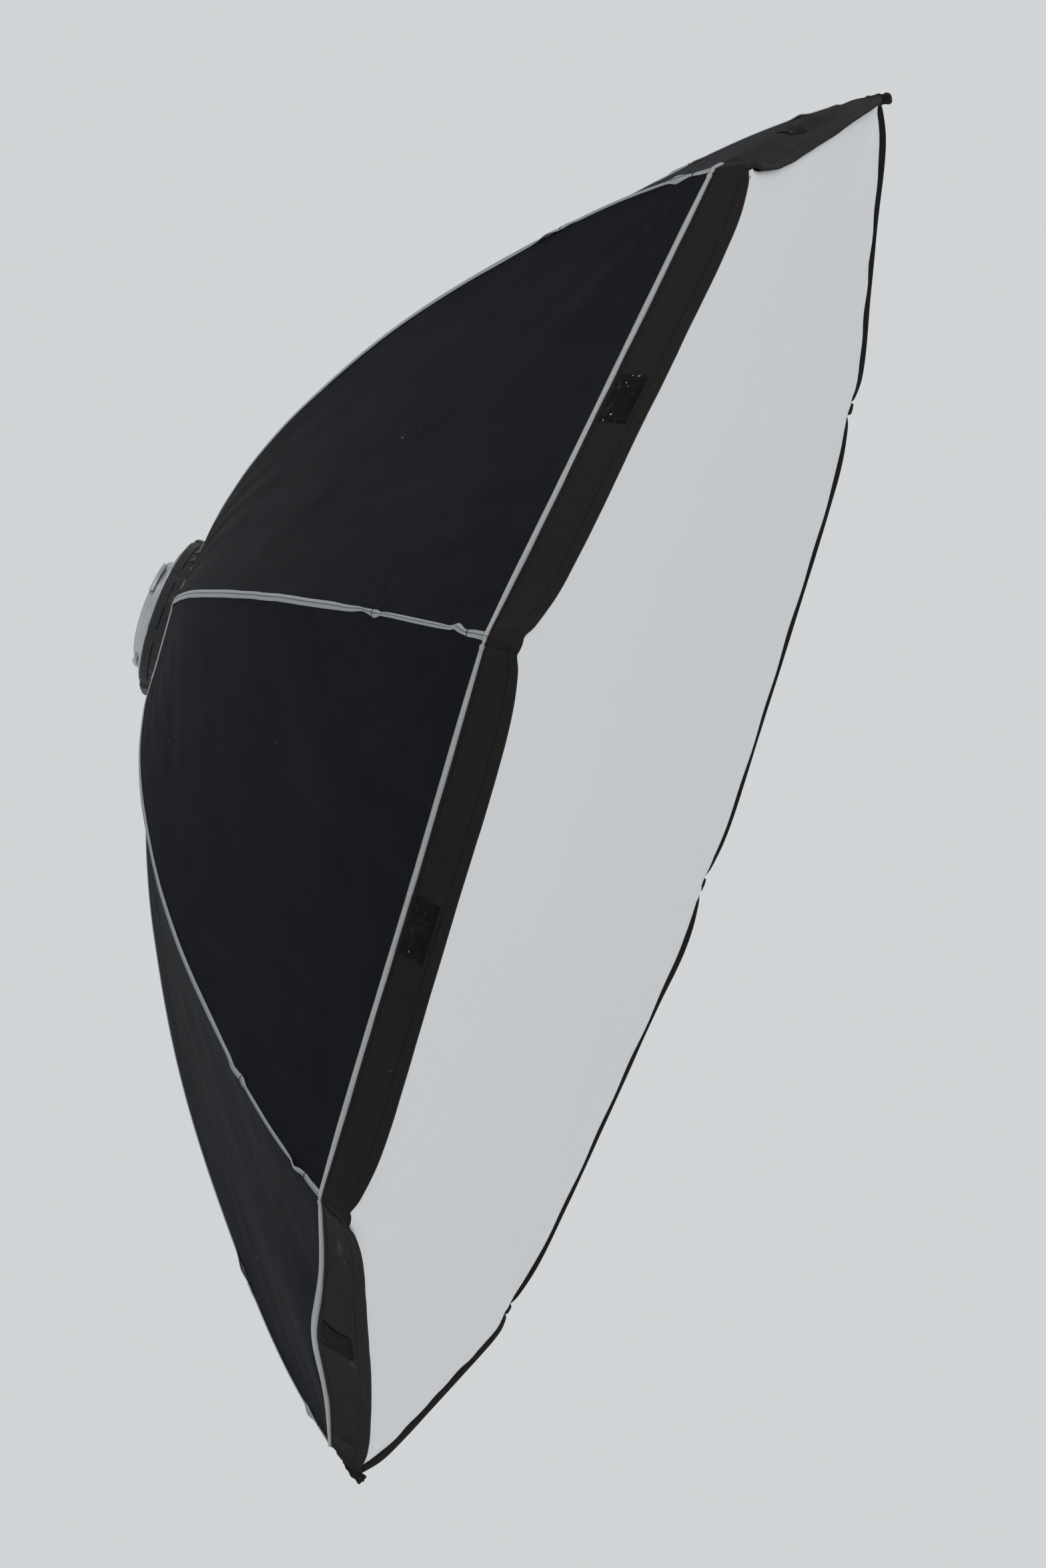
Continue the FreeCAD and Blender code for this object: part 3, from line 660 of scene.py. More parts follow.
def metal(name, base, rough, metallic, wear, wear_amount, grain=0.0, brushed=None, scratch=0.35):
    m = Mat(name)
    obj = m.coord("Object")
    n1 = m.noise(obj, 90.0, 5.0, 0.6)
    n2 = m.noise(obj, 14.0, 3.0, 0.5)
    edge, bn = edge_mask(m)
    worn = m.math("MULTIPLY", edge, m.range(m.noise(obj, 55.0, 6.0, 0.7), 0.42, 0.62, 0.0, 1.0))
    worn = m.math("MULTIPLY", worn, wear_amount)
    sc = m.noise(m.scaled(obj, (240.0, 34.0, 240.0)) if brushed is None else m.scaled(obj, brushed), 1.0, 4.0, 0.7)
    col = m.mix(m.range(n2, 0.3, 0.7, 0, 1), scale(base, 0.85), scale(base, 1.15))
    col = m.mix(m.range(sc, 0.60, 0.75, 0.0, scratch), col, scale(base, 1.6))
    col = m.mix(worn, col, wear)
    m.set(Base_Color=col, Metallic=metallic, Roughness=m.range(m.math("ADD", n1, sc), 0.7, 1.3, max(rough - 0.10, 0.05), rough + 0.12))
    m.set(Normal=m.bump(m.math("ADD", m.math("MULTIPLY", n1, grain), m.math("MULTIPLY", sc, 0.3)), 0.35, 0.00025, bn))
    return m.m


def plastic(name, base, rough, grain=1.0, wear=None, spec=0.4):
    m = Mat(name)
    obj = m.coord("Object")
    g = m.noise(obj, 900.0, 3.0, 0.6)
    n2 = m.noise(obj, 18.0, 4.0, 0.5)
    edge, bn = edge_mask(m, 0.0008)
    col = m.mix(m.range(n2, 0.3, 0.7, 0, 1), scale(base, 0.88), scale(base, 1.12))
    col = m.mix(m.math("MULTIPLY", edge, m.range(m.noise(obj, 70.0, 5.0, 0.7), 0.4, 0.65, 0.0, 0.7)), col, wear or scale(base, 2.2))
    m.set(Base_Color=col, Roughness=m.range(m.math("ADD", g, n2), 0.7, 1.3, rough - 0.08, rough + 0.10), Specular_IOR_Level=spec)
    m.set(Normal=m.bump(g, 0.25 * grain, 0.0002, bn))
    return m.m


HARD = {
    "insert_alloy": metal("insert_alloy", (0.44, 0.45, 0.47), 0.34, 1.0, (0.66, 0.66, 0.67), 0.6, 0.3, brushed=(60.0, 900.0, 60.0)),
    "ring_metal": metal("ring_metal", (0.020, 0.021, 0.023), 0.48, 0.35, (0.30, 0.30, 0.31), 0.65, 1.0),
    "glide_plastic": plastic("glide_plastic", (0.66, 0.65, 0.60), 0.42),
    "steel": metal("steel", (0.56, 0.56, 0.57), 0.28, 1.0, (0.78, 0.78, 0.78), 0.4, 0.3),
    "socket_plastic": plastic("socket_plastic", (0.018, 0.019, 0.022), 0.45, 1.2, wear=(0.07, 0.07, 0.075)),
    "catch_plastic": plastic("catch_plastic", (0.16, 0.17, 0.18), 0.42, 1.0, wear=(0.30, 0.31, 0.32)),
    "knob_plastic": plastic("knob_plastic", (0.016, 0.016, 0.018), 0.40, 1.2, wear=(0.08, 0.08, 0.085)),
    "rod_steel": metal("rod_steel", (0.030, 0.030, 0.033), 0.36, 0.7, (0.42, 0.42, 0.43), 0.5, 0.5, brushed=(120.0, 120.0, 30.0)),
    "tip_rubber": plastic("tip_rubber", (0.012, 0.012, 0.012), 0.78, 2.0, spec=0.2),
    "loop_wire": metal("loop_wire", (0.10, 0.10, 0.11), 0.35, 1.0, (0.5, 0.5, 0.5), 0.3, 0.3),
}
CORD = cloth("elastic_cord", (0.016, 0.016, 0.017), 0.0010, rough=0.8, spec=0.2, bump=0.9, depth=0.0004, twill=True)
THREAD = cloth("stitch_thread", (0.0085, 0.0080, 0.0076), 0.0006, rough=0.75, spec=0.12, bump=0.5, depth=0.0002)

SLOT_OF = {s["node"]: s["material_slot"] for s in RECORD["subparts"]}
for n, o in NODES.items():
    mat = HARD.get(SLOT_OF[n])
    if mat is not None:
        o.data.materials.clear() if False else None
        if not o.material_slots:
            o.data.materials.append(mat)
        for sl in o.material_slots:
            sl.link = "OBJECT"
            sl.material = mat

# ------------------------------------------------------------------ the box: a gore on each rod, in rows along it
N_ACROSS = 15                                   # half a gore
ROW_R = [98.0, 128.0, 165.0, 208.0, 256.0, 308.0, 364.0, 422.0, 478.0, 532.0, 584.0, 637.0, 690.5]
ROW_S = [0.0] + [s_of_r(r / 1000.0) for r in ROW_R[1:-1]] + [L]
T_SHELL = 0.0011
HUB_S = 0.0018
RIM_S = L - 0.0022


def gore_half(build, k, half, s0, s1, n_s, thick=T_SHELL):
    """The part of rib k's gore on one side of the rib, from the rib to the middle of that panel."""
    s = np.linspace(s0, s1, n_s)
    a = np.linspace(0, 1, N_ACROSS) ** 1.0 * 0.5
    if half > 0:
        j, u = k, a
    else:
        j, u = (k - 1) % SIDES, 1 - a
    S, U = np.meshgrid(s, u, indexing="ij")
    P, N = surface(lambda uu, ss: side_point(j, uu, ss), U, S)
    d0, d1 = side_dirs(j)
    m = (d0 + d1) / np.linalg.norm(d0 + d1)
    out = m * 0.5 + YV * 0.5
    r, _ = rib_at(S)
    uv = np.stack([(U - 0.5) * 2 * r * math.sin(HALF) + 0.61 * j, S], -1)
    build.sheet(P, N, thick, uv, 0, 1, 0, outward=out)


def squash_to(ob):
    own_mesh(ob)


DS = 0.0062
for k in range(SIDES):
    for half, tag in ((1, "a"), (-1, "b")):
        # next to the rear opening the fabric is a piece of its own, baked in place and attached to no body
        b = Build()
        gore_half(b, k, half, HUB_S, ROW_S[1], 7)
        ob = b.make("shell_%d_root_%s" % (k + 1, tag), [NYLON, LINING])
        j = k if half > 0 else (k - 1) % SIDES
        d0, d1 = side_dirs(j)
        m = (d0 + d1) / np.linalg.norm(d0 + d1)
        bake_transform(ob)
        if half > 0:
            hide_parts("shell_panel_%d" % (k + 1))
    for i in range(1, len(ROW_S) - 1):
        s0, s1 = ROW_S[i], (ROW_S[i + 1] if i + 2 < len(ROW_S) else RIM_S)
        b = Build()
        n = max(4, int(round((s1 - s0) / DS)) + 1)
        gore_half(b, k, 1, s0, s1, n)
        gore_half(b, k, -1, s0, s1, n)
        ob = piece(b, "shell_%d_row_%02d" % (k + 1, i), [NYLON, LINING], "rod_arm_%d" % (k + 1), ["shell_panel_%d" % (k + 1)])
        squash_to(ob)

# ------------------------------------------------------------------ binding tape over each seam
def binding(k, root):
    """Grey tape folded over the seam: two crowned strips either side of a stitched groove. It is pinched,
    turned on edge and opened flat again where the rod's loops are sewn through it."""
    b = Build()
    W = 0.0037
    c1, c2 = kink_at(k, 0), kink_at(k, 1)
    s = np.unique(np.concatenate([np.linspace(0.004, L - 0.003, 150), np.linspace(c1 - 0.05, c1 + 0.025, 60), np.linspace(c2 - 0.03, L - 0.003, 50)]))
    if root:
        s = np.linspace(0.004, ROW_S[1] + 0.0012, 16)
    else:
        s = np.concatenate([[ROW_S[1]], s[s > ROW_S[1] + 0.001]])
    xs = np.array([-1.0, -0.93, -0.72, -0.45, -0.20, -0.07, 0.0, 0.07, 0.20, 0.45, 0.72, 0.93, 1.0])
    hs = np.array([0.10, 0.75, 1.05, 1.12, 0.98, 0.60, 0.45, 0.60, 0.98, 1.12, 1.05, 0.75, 0.10])
    d, t = rib_dir(k), rib_tan(k)
    S, X = np.meshgrid(s, xs, indexing="ij")
    H = np.broadcast_to(hs, S.shape).copy()
    flip = 1 if k % 2 == 0 else -1
    width = W * np.interp(S, [0.0, 0.02, 0.12, c1 - 0.075, c1 - 0.035, c1 - 0.016, c1 - 0.006, c1 + 0.001, c1 + 0.006, c1 + 0.013, c1 + 0.020,
                              c2 - 0.040, c2 - 0.026, c2 - 0.018, c2 - 0.011, c2 - 0.004, c2 + 0.003, c2 + 0.010, L],
                          [0.75, 0.95, 1.05, 1.00, 0.78, 0.42, 0.72, 1.02, 1.00, 0.45, 0.62,
                           0.68, 0.56, 0.95, 1.02, 0.72, 0.92, 0.98, 1.06])
    width = width * (1 + 0.10 * noise(S / 0.035, k * 2.2, 9))
    kink = flip * (0.0011 * np.exp(-((S - c1 + 0.022) / 0.016) ** 2) - 0.0009 * np.exp(-((S - c1 - 0.004) / 0.009) ** 2)
                   + 0.0024 * np.exp(-((S - c2 + 0.015) / 0.006) ** 2) - 0.0010 * np.exp(-((S - c2) / 0.007) ** 2))
    lift = 0.0016 * np.exp(-((S - c1 + 0.014) / 0.010) ** 2) + 0.0010 * np.exp(-((S - c1 - 0.006) / 0.006) ** 2) + 0.0024 * np.exp(-((S - c2 + 0.014) / 0.006) ** 2) - 0.0003 * np.exp(-((S - c2) / 0.002) ** 2)
    roll = flip * (0.0017 * np.exp(-((S - c1 + 0.018) / 0.012) ** 2) - 0.0012 * np.exp(-((S - c2 + 0.017) / 0.008) ** 2)) * X
    wav = 0.0006 * noise(S / 0.05, k * 3.1, 7) + 0.0004 * noise(S / 0.017, k * 1.7, 8)
    x = X * width + wav + kink

    def f(x_, s_):
        r, y = rib_at(s_)
        tr, ty = tangent_at(s_)
        # the panels fall away on both sides of the rib
        slope = math.tan(HALF) * (-ty) / np.hypot(tr, ty)
        N = (-ty)[..., None] * d + tr[..., None] * YV
        return r[..., None] * d + y[..., None] * YV + x_[..., None] * t, N, slope

    P, N, slope = f(x, S)
    top = P + N * (-np.abs(x) * slope * 0.92 + 0.0009 * H + lift * (1 - 0.5 * np.abs(X)) + roll + 0.0002)[..., None]
    # normals from the grid
    gs = np.gradient(top, axis=0)
    gx = np.gradient(top, axis=1)
    NN = np.cross(gs, gx)
    NN /= np.linalg.norm(NN, axis=-1, keepdims=True)
    uv = np.stack([X * W, S], -1)
    b.sheet(top, NN, 0.0011, uv, 0, outward=N)
    # a bar of dark stitches across the tape, and the webbing loop inside that holds the rod under the seam
    for c in (() if root else (c1, c2)):
        i = int(np.argmin(np.abs(s - c)))
        row = np.vstack([top[i, 0] - (top[i, 1] - top[i, 0]) * 0.5 - NN[i, 6] * 0.0006, top[i, 1:-1], top[i, -1] + (top[i, -1] - top[i, -2]) * 0.5 - NN[i, 6] * 0.0006])
        b.tube(row + NN[i, 6] * 0.00012, NN[i, 6], 0.00034, 0.00042, 2, 8)
        r, y = rib_at(np.array([c]))
        tr, ty = tangent_at(np.array([c]))
        Nn = -ty[0] * d + tr[0] * YV
        Tn = tr[0] * d + ty[0] * YV
        ctr = r[0] * d + y[0] * YV - Nn * 0.0066
        a = np.linspace(0, 2 * np.pi, 25)[:-1]
        ring_ = ctr + np.cos(a)[:, None] * Nn * 0.0052 + np.sin(a)[:, None] * t * 0.0052
        b.tube(ring_, np.broadcast_to(Tn, ring_.shape), 0.0060, 0.0006, mat=1, sides=8, closed=True, power=0.5)
    return b


for k in range(SIDES):
    ob = piece(binding(k, False), "seam_binding_%d" % (k + 1), [TAPE, POCKET, THREAD], "rod_arm_%d" % (k + 1), ["seam_binding"])
    # its first stretch, next to the rear opening, is a piece of its own, baked in place and attached to no body
    ob = binding(k, True).make("seam_root_%d" % (k + 1), [TAPE])
    d = rib_dir(k)
    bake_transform(ob)


# ------------------------------------------------------------------ piping
def rolled(u):
    return smooth((u - 0.05) / 0.10) * smooth((0.955 - u) / 0.06)


def edge_path(j, us, s, lift=0.0):
    return side_point(j, us, np.full_like(us, s), lift)


for k in range(SIDES):
    b = Build()
    for half in (1, -1):
        a = np.concatenate([np.linspace(0, 0.036, 16), np.linspace(0.036, 0.5, 34)[1:]])
        j, u = (k, a) if half > 0 else ((k - 1) % SIDES, 1 - a)
        d0, d1 = side_dirs(j)
        m = (d0 + d1) / np.linalg.norm(d0 + d1)
        du = np.minimum(u, 1 - u) * 2 * RIB[-1][0] * math.sin(HALF)
        # it starts thin at the seam, with a knot where the next length is joined on
        r = 0.0028 * (1 + 0.06 * noise(u * 34.0, j * 2.0, 61)) * (1 - 0.24 * np.exp(-(du / 0.040) ** 2))
        sink = np.zeros_like(u)
        path = edge_path(j, u, L)
        if half > 0:
            r = r * (1 - 0.50 * np.exp(-((du - 0.0065) / 0.0014) ** 2) + 0.22 * np.exp(-((du - 0.0095) / 0.0015) ** 2))
            path = path + m * (0.0012 * np.exp(-((du - 0.0085) / 0.0030) ** 2))[:, None]
        if j == 3:
            r = r * (0.88 + 0.50 * np.exp(-((u - 0.50) / 0.17) ** 2))
        if j == 0 or k == 0:
            # along this side the lip has rolled back over the piping, and at the top corner it is tucked in
            sink = np.maximum(rolled(u) if j == 0 else 0.0, np.exp(-(du / 0.060) ** 2) if k == 0 else 0.0)
            r = r * (1 - 0.45 * sink)
            path = path - (m * 0.5 + rib_dir(k) * 0.5) * (0.0034 * sink)[:, None]
        b.tube(path, m * 0.6 + YV * 0.8, r, r, 0, 14)
    ob = piece(b, "rim_piping_%d" % (k + 1), [PIPING_PAINTED_LIGHTER], "rod_arm_%d" % (k + 1), ["rim_piping"])
    squash_to(ob)

b = Build()
for j in range(SIDES):
    u = np.linspace(0, 1, 15)
    path = edge_path(j, u, 0.0, 0.0)
    d0, d1 = side_dirs(j)
    m = (d0 + d1) / np.linalg.norm(d0 + d1)
    r = 0.0015 * (1 + 0.10 * noise(u * 9.0, j * 2.0, 63) + 0.35 * np.exp(-((u - 0.5) / 0.5) ** 2 * 0) * np.exp(-(np.minimum(u, 1 - u) / 0.05) ** 2))
    b.tube(path, m, r, r, 0, 12)
piece(b, "hub_piping_cord", [PIPING_PAINTED_LIGHTER], "speed_ring", ["hub_piping"])

# ------------------------------------------------------------------ lip
LIP_T = 0.0016


def lip_front(j, u):
    """The lip's front edge."""
    j = j % SIDES
    d0, d1 = side_dirs(j)
    m = (d0 + d1) / np.linalg.norm(d0 + d1)
    w = np.sin(np.pi * np.clip(u, 0, 1))
    plate = 1 - np.clip(np.abs(2 * u - 1), 0, 1) ** 6
    width = 2 * RIM_R * math.sin(HALF)
    du = np.minimum(u, 1 - u) * width
    notch = np.exp(-(du / 0.010) ** 2)
    taper = np.exp(-(du / 0.042) ** 2)
    plate_y = 0.0075 if j < 4 else 0.0056
    fwd = plate_y * plate + 0.0010 * noise(u * 6.0, j * 1.7, 71) * w - 0.0040 * notch - 0.0052 * taper
    rad = 0.0010 * noise(u * 4.0, j * 2.7, 73) * w - 0.0030 * notch
    if j == 0:
        rad = rad - np.interp(u, [0.0, 0.06, 0.16, 0.28, 0.38, 0.50, 0.62, 0.74, 0.86, 0.94, 1.0], [0.0, -0.004, -0.0065, -0.0050, -0.0010, 0.0045, 0.0085, 0.0105, 0.0100, 0.0075, 0.0015])
        fwd = fwd + 0.0020 * np.sin(2 * np.pi * u) * w
    if j == 3:
        rad = rad + 0.0030 * w * np.sin(2 * np.pi * u + 0.5)
        fwd = fwd + 0.0040 * w
    if j == 5:
        fwd = fwd + 0.0022 * np.exp(-((u - 0.84) / 0.10) ** 2)
    if j == 7:
        rad = rad - 0.0030 * w
        fwd = fwd + 0.0008 * np.sin(9.0 * u) * w
    P = RIM_R * ((1 - u)[..., None] * d0 + u[..., None] * d1) + RIM_Y * YV
    return P + m * rad[..., None] - YV * fwd[..., None]


def lip_point(j, u, v, lift=0.0):
    """v 0 at the piping, 1 at the front edge."""
    u, v = np.broadcast_arrays(np.asarray(u, float), np.asarray(v, float))
    A = side_point(j, u, np.full_like(u, L))
    B = lip_front(j, u)
    d0, d1 = side_dirs(j)
    m = (d0 + d1) / np.linalg.norm(d0 + d1)
    D = B - A
    ln = np.linalg.norm(D, axis=-1, keepdims=True)
    N = m - (m * D).sum(-1, keepdims=True) * D / ln ** 2
    N = N / np.linalg.norm(N, axis=-1, keepdims=True)
    width = 2 * RIM_R * math.sin(HALF)
    du = np.minimum(u, 1 - u) * width
    w = np.sin(np.pi * np.clip(u, 0, 1))
    jj = j % SIDES
    crown = 0.0016 * np.sin(np.pi * v)
    # the hem is folded back inside: a slight step, and the puckers of its stitching
    hem = 0.00045 * smooth((v - 0.76) / 0.03)
    stitch = -0.00035 * np.exp(-((v - 0.79) / 0.016) ** 2) - 0.0003 * np.exp(-((v - 0.13) / 0.014) ** 2)
    pucker = 0.00022 * np.sin(u * width / 0.0042 * 2 * np.pi / 2) * np.exp(-((v - 0.79) / 0.05) ** 2)
    # folded fabric at the corners
    fold = -0.0026 * np.exp(-(du / 0.005) ** 2) * smooth(v / 0.3) + 0.0016 * np.exp(-((du - 0.013) / 0.006) ** 2) * smooth(v / 0.4)
    soft = (0.0016 * noise(u * 7.0 + v * 0.8, v * 1.2 + jj, 75) + 0.0010 * noise(u * 17.0 - v, v * 2.0 + jj, 76)) * np.sqrt(w)
    if jj in (0, 3):
        soft = soft + (0.0012, 0.0030)[jj // 3] * w * np.sin(2 * np.pi * (1.6 * u + 0.35 * v) + jj) * np.sin(np.pi * np.clip(v, 0, 1))
    if jj == 0:
        soft = soft + rolled(u) * (0.0058 * np.exp(-((v - 0.18) / 0.20) ** 2) - 0.0010 * smooth((0.06 - v) / 0.1))
        soft = soft + 0.0055 * np.exp(-((u - 0.36) / 0.085) ** 2) * np.exp(-((v - 0.12) / 0.17) ** 2)
    if jj == 3:
        # a fold runs slantwise up from the bottom corner
        q = (1 - u) * width * 0.80 - v * 0.0434 * 0.60 - 0.030
        soft = soft + 0.0022 * np.exp(-(q / 0.006) ** 2) * np.sin(np.pi * np.clip(v, 0, 1))
    return A + D * v[..., None] + N * (crown + hem + stitch + pucker + fold + soft + lift)[..., None]


V0 = 0.052
PATCH_HALF = 0.0275
for k in range(SIDES):
    b = Build()
    for half in (1, -1):
        a = np.concatenate([np.linspace(0, 0.05, 9), np.linspace(0.05, 0.5, 52)[1:]])
        j, u = (k, a) if half > 0 else ((k - 1) % SIDES, 1 - a)
        v = np.concatenate([np.linspace(V0, 0.40, 10), np.linspace(0.45, 0.70, 5), np.linspace(0.72, 1.0, 12)])
        V_, U_ = np.meshgrid(v, u, indexing="ij")
        if j == 0:
            V_ = 1 - (1 - V_) / (1 - V0) * (1 - V0 + (V0 + 0.045) * rolled(U_))
        P, N = surface(lambda uu, vv: lip_point(j, uu, vv), U_, V_, 8e-4)
        d0, d1 = side_dirs(j)
        m = (d0 + d1) / np.linalg.norm(d0 + d1)
        ln = 0.0434
        uv = np.stack([(U_ - 0.5) * 0.5434 + 0.7 * j, V_ * ln], -1)
        thick = LIP_T + 0.0009 * smooth((V_ - 0.74) / 0.03)
        b.sheet(P, N, thick, uv, 0, 0, 0, outward=m)
        # hook patch outside the lip in the middle of the side: half of it on this gore
        width = 0.5434
        ah = np.linspace(0.5 - PATCH_HALF / width, 0.5, 18)
        uh = ah if half > 0 else 1 - ah
        v_a, v_b = (0.16, 0.70) if j else (0.0, 0.40)
        vh = np.linspace(v_a, v_b, 22)
        VV, UU = np.meshgrid(vh, uh, indexing="ij")
        fuzz = 0.00035 * noise(UU * width / 0.0022, VV * ln / 0.0022, 81 + j) + 0.0005 * noise(UU * width / 0.008, VV * ln / 0.009, 82 + j)
        edge = np.minimum(np.minimum((VV - v_a), (v_b - VV)) * ln / 0.0012, 1.0)
        near = (PATCH_HALF / width - np.abs(UU - 0.5)) * width / 0.0012
        edge = np.clip(np.minimum(edge, near), 0, 1)
        border = np.exp(-((np.minimum(np.minimum((VV - v_a), (v_b - VV)) * ln, (PATCH_HALF - np.abs(UU - 0.5) * width)) - 0.0022) / 0.0007) ** 2)
        lift = 0.0004 + 0.0012 * edge + fuzz - 0.0007 * border
        PP, NN = surface(lambda uu, vv: lip_point(j, uu, vv, 0.0), UU, VV, 8e-4)
        if (NN * m).sum() < 0:
            NN = -NN
        PP = PP + NN * lift[..., None]
        gs, gx = np.gradient(PP, axis=0), np.gradient(PP, axis=1)
        N2 = np.cross(gs, gx)
        N2 /= np.linalg.norm(N2, axis=-1, keepdims=True)
        b.sheet(PP, N2, 0.0012, np.stack([UU * width, VV * ln], -1), 1, outward=m)
        if half > 0:
            # seam where this side's lip laps over the last one
            vv = np.linspace(0.10, 0.93, 26)
            uu = np.full_like(vv, 0.0072 / width) + 0.0008 * np.sin(vv * 5.0)
            line = lip_point(j, uu, vv, 0.0)
            b.tube(line + m * 0.00012, m, 0.00030, 0.00040, 2, 6)
        # loop tape inside the lip, and lines of stitching on it
        al = np.linspace(0.5 - 0.235 / width, 0.5, 30)
        ul = al if half > 0 else 1 - al
        vl = np.linspace(0.42, 0.86, 6)
        VV, UU = np.meshgrid(vl, ul, indexing="ij")
        PP, NN = surface(lambda uu, vv: lip_point(j, uu, vv, 0.0), UU, VV, 8e-4)
        if (NN * m).sum() < 0:
            NN = -NN
        b.sheet(PP - NN * (LIP_T + 0.0009 + 0.0001), NN, 0.0009, np.stack([UU * width, VV * ln], -1), 1, outward=m)
        for vs in (0.13, 0.79):
            us = np.linspace(a[0] + 0.012, 0.5, 120)
            us = us if half > 0 else 1 - us
            line = lip_point(j, us, np.full_like(us, vs), 0.0)
            dash = 0.5 + 0.5 * np.cos(np.arange(120) * np.pi)
            b.tube(line + m * (0.00005 + 0.00018 * dash)[:, None], m, 0.00022, 0.00026, 2, 6)
    ob = piece(b, "lip_%d" % (k + 1), [WEBBING, HOOK, THREAD], "rod_arm_%d" % (k + 1), ["lip_band", "grid_patches", "loop_tape"])
    squash_to(ob)

# ------------------------------------------------------------------ corners: pockets over the rod tips, tabs, and the baffle's loops
LIP_DIR = np.array([RIM_R - RIB[-1][0], RIM_Y - RIB[-1][1]])
LIP_DIR = LIP_DIR / np.linalg.norm(LIP_DIR)
INW = np.array([LIP_DIR[1], -LIP_DIR[0]])
END = np.array([RIM_R, RIM_Y]) - LIP_DIR * 0.020 + INW * 0.0105
_p = np.array(rib_at(np.array([L - 0.03]))).ravel()
ROD_END_DIR = END - (_p + INW * 0.0066)
ROD_END_DIR = ROD_END_DIR / np.linalg.norm(ROD_END_DIR)
ROD_END_DIR = ROD_END_DIR * 0.5 + LIP_DIR * 0.5
ROD_END_DIR = ROD_END_DIR / np.linalg.norm(ROD_END_DIR)
BAFFLE_Y = -0.252
WALL = float(np.interp(-BAFFLE_Y, -_d[::1, 1], _d[:, 0])) - 0.013 * math.tan(HALF)


def rib3(k, p, x=0.0):
    return rib_dir(k) * p[0] + YV * p[1] + rib_tan(k) * x


for k in range(SIDES):
    b = Build()
    d, t = rib_dir(k), rib_tan(k)
    # pocket: a sewn sleeve drawn round the rod's cap, wider at its mouth and pinched shut in front
    al = np.array([-0.030, -0.0297, -0.027, -0.022, -0.016, -0.010, -0.004, 0.0005, 0.0040, 0.0066, 0.0082, 0.0090])
    rr = np.array([0.0080, 0.0088, 0.0091, 0.0086, 0.0083, 0.0081, 0.0080, 0.0077, 0.0069, 0.0052, 0.0030, 0.0012])
    path = np.array([rib3(k, END + ROD_END_DIR * a) for a in al])
    up = rib3(k, -INW)
    b.tube(path, up, rr * 0.94, rr * 1.10, 0, 20)
    # sewn flange that joins the pocket to the lip
    fl = np.linspace(-0.026, 0.004, 10)
    X = np.linspace(-0.0135, 0.0135, 11)
    A, XX = np.meshgrid(fl, X, indexing="ij")
    drop = np.abs(XX) * math.tan(HALF) * abs(INW[0])
    base = (END + ROD_END_DIR * 0)[None, None, :]
    Pf = (END[0] + ROD_END_DIR[0] * A - INW[0] * (0.0046 - drop))[..., None] * d + (END[1] + ROD_END_DIR[1] * A - INW[1] * (0.0046 - drop))[..., None] * YV + XX[..., None] * t
    gs, gx = np.gradient(Pf, axis=0), np.gradient(Pf, axis=1)
    NN = np.cross(gs, gx)
    NN /= np.linalg.norm(NN, axis=-1, keepdims=True)
    b.sheet(Pf, NN, 0.0010, np.stack([XX, A], -1), 0, outward=rib3(k, -INW))
    # webbing tab over the corner: from the lip's outer face, round the front edge and back to the pocket
    reach = {0: 0.0150, 4: 0.0130}.get(k, 0.0060 + 0.0008 * math.sin(2.1 * k))
    corner = np.array([RIM_R, RIM_Y]) + np.array([-0.0030, 0.0042]) - LIP_DIR * 0.0046
    outn = -INW
    pts = [corner - LIP_DIR * 0.024 + outn * 0.0014, corner - LIP_DIR * 0.016 + outn * 0.0018, corner - LIP_DIR * 0.008 + outn * 0.0021,
           corner - LIP_DIR * 0.001 + outn * 0.0022, corner + LIP_DIR * reach * 0.65 + outn * 0.0015, corner + LIP_DIR * reach + outn * 0.0004,
           corner + LIP_DIR * reach * 0.70 - outn * 0.0008, corner - LIP_DIR * 0.002 - outn * 0.0020, corner - LIP_DIR * 0.010 - outn * 0.0058]
    c = natural(np.array(pts))[::100]
    tt = np.gradient(c, axis=0)
    tt /= np.linalg.norm(tt, axis=1, keepdims=True)
    nn = np.stack([-tt[:, 1], tt[:, 0]], 1)
    if (nn[2] * outn).sum() < 0:
        nn = -nn
    wid = 0.0085 if k not in (0, 4) else 0.0075
    X = np.linspace(-1, 1, 15)
    run = np.r_[0, np.cumsum(np.linalg.norm(np.diff(c, axis=0), axis=1))]
    CI, XX = np.meshgrid(np.arange(len(c)), X, indexing="ij")
    squeeze = 1 - 0.22 * np.exp(-((run[CI] - run[-1] * 0.62) / 0.006) ** 2)
    xx = XX * wid * squeeze
    # over the ridge the tab bends with the lip; in front of the edge it lies flat
    ridge = 1 - smooth((run[CI] - 0.020) / 0.006)
    h = -np.abs(xx) * math.tan(HALF) * abs(outn[0]) * (0.15 + 0.85 * ridge) + 0.0004 * (1 - XX ** 4)
    q = c[CI] + nn[CI] * h[..., None]
    Pt = q[..., 0][..., None] * d + q[..., 1][..., None] * YV + xx[..., None] * t
    gs, gx = np.gradient(Pt, axis=0), np.gradient(Pt, axis=1)
    NN = np.cross(gs, gx)
    NN /= np.linalg.norm(NN, axis=-1, keepdims=True)
    b.sheet(Pt, NN, 0.0013, np.stack([xx, run[CI]], -1), 1, outward=None if (NN[2, 7] * rib3(k, outn)).sum() > 0 else -NN[2, 7])
    if k in (0, 4):
        # the two lips' ends gathered into a soft fold inside the tab
        q = np.linspace(-0.014, reach - 0.0010, 18)
        core = np.array([rib3(k, corner + LIP_DIR * a_ + outn * (0.0004 if a_ > -0.004 else -0.0006), 0.0008 * math.sin(a_ * 300)) for a_ in q])
        bulk = np.sqrt(np.clip(1 - ((q - 0.001) / (reach + 0.004)) ** 4, 0.02, 1)) * (1 + 0.12 * np.sin(q * 700))
        b.tube(core, rib3(k, outn), 0.0052 * bulk, 0.0074 * bulk, 1, 16, power=0.8)
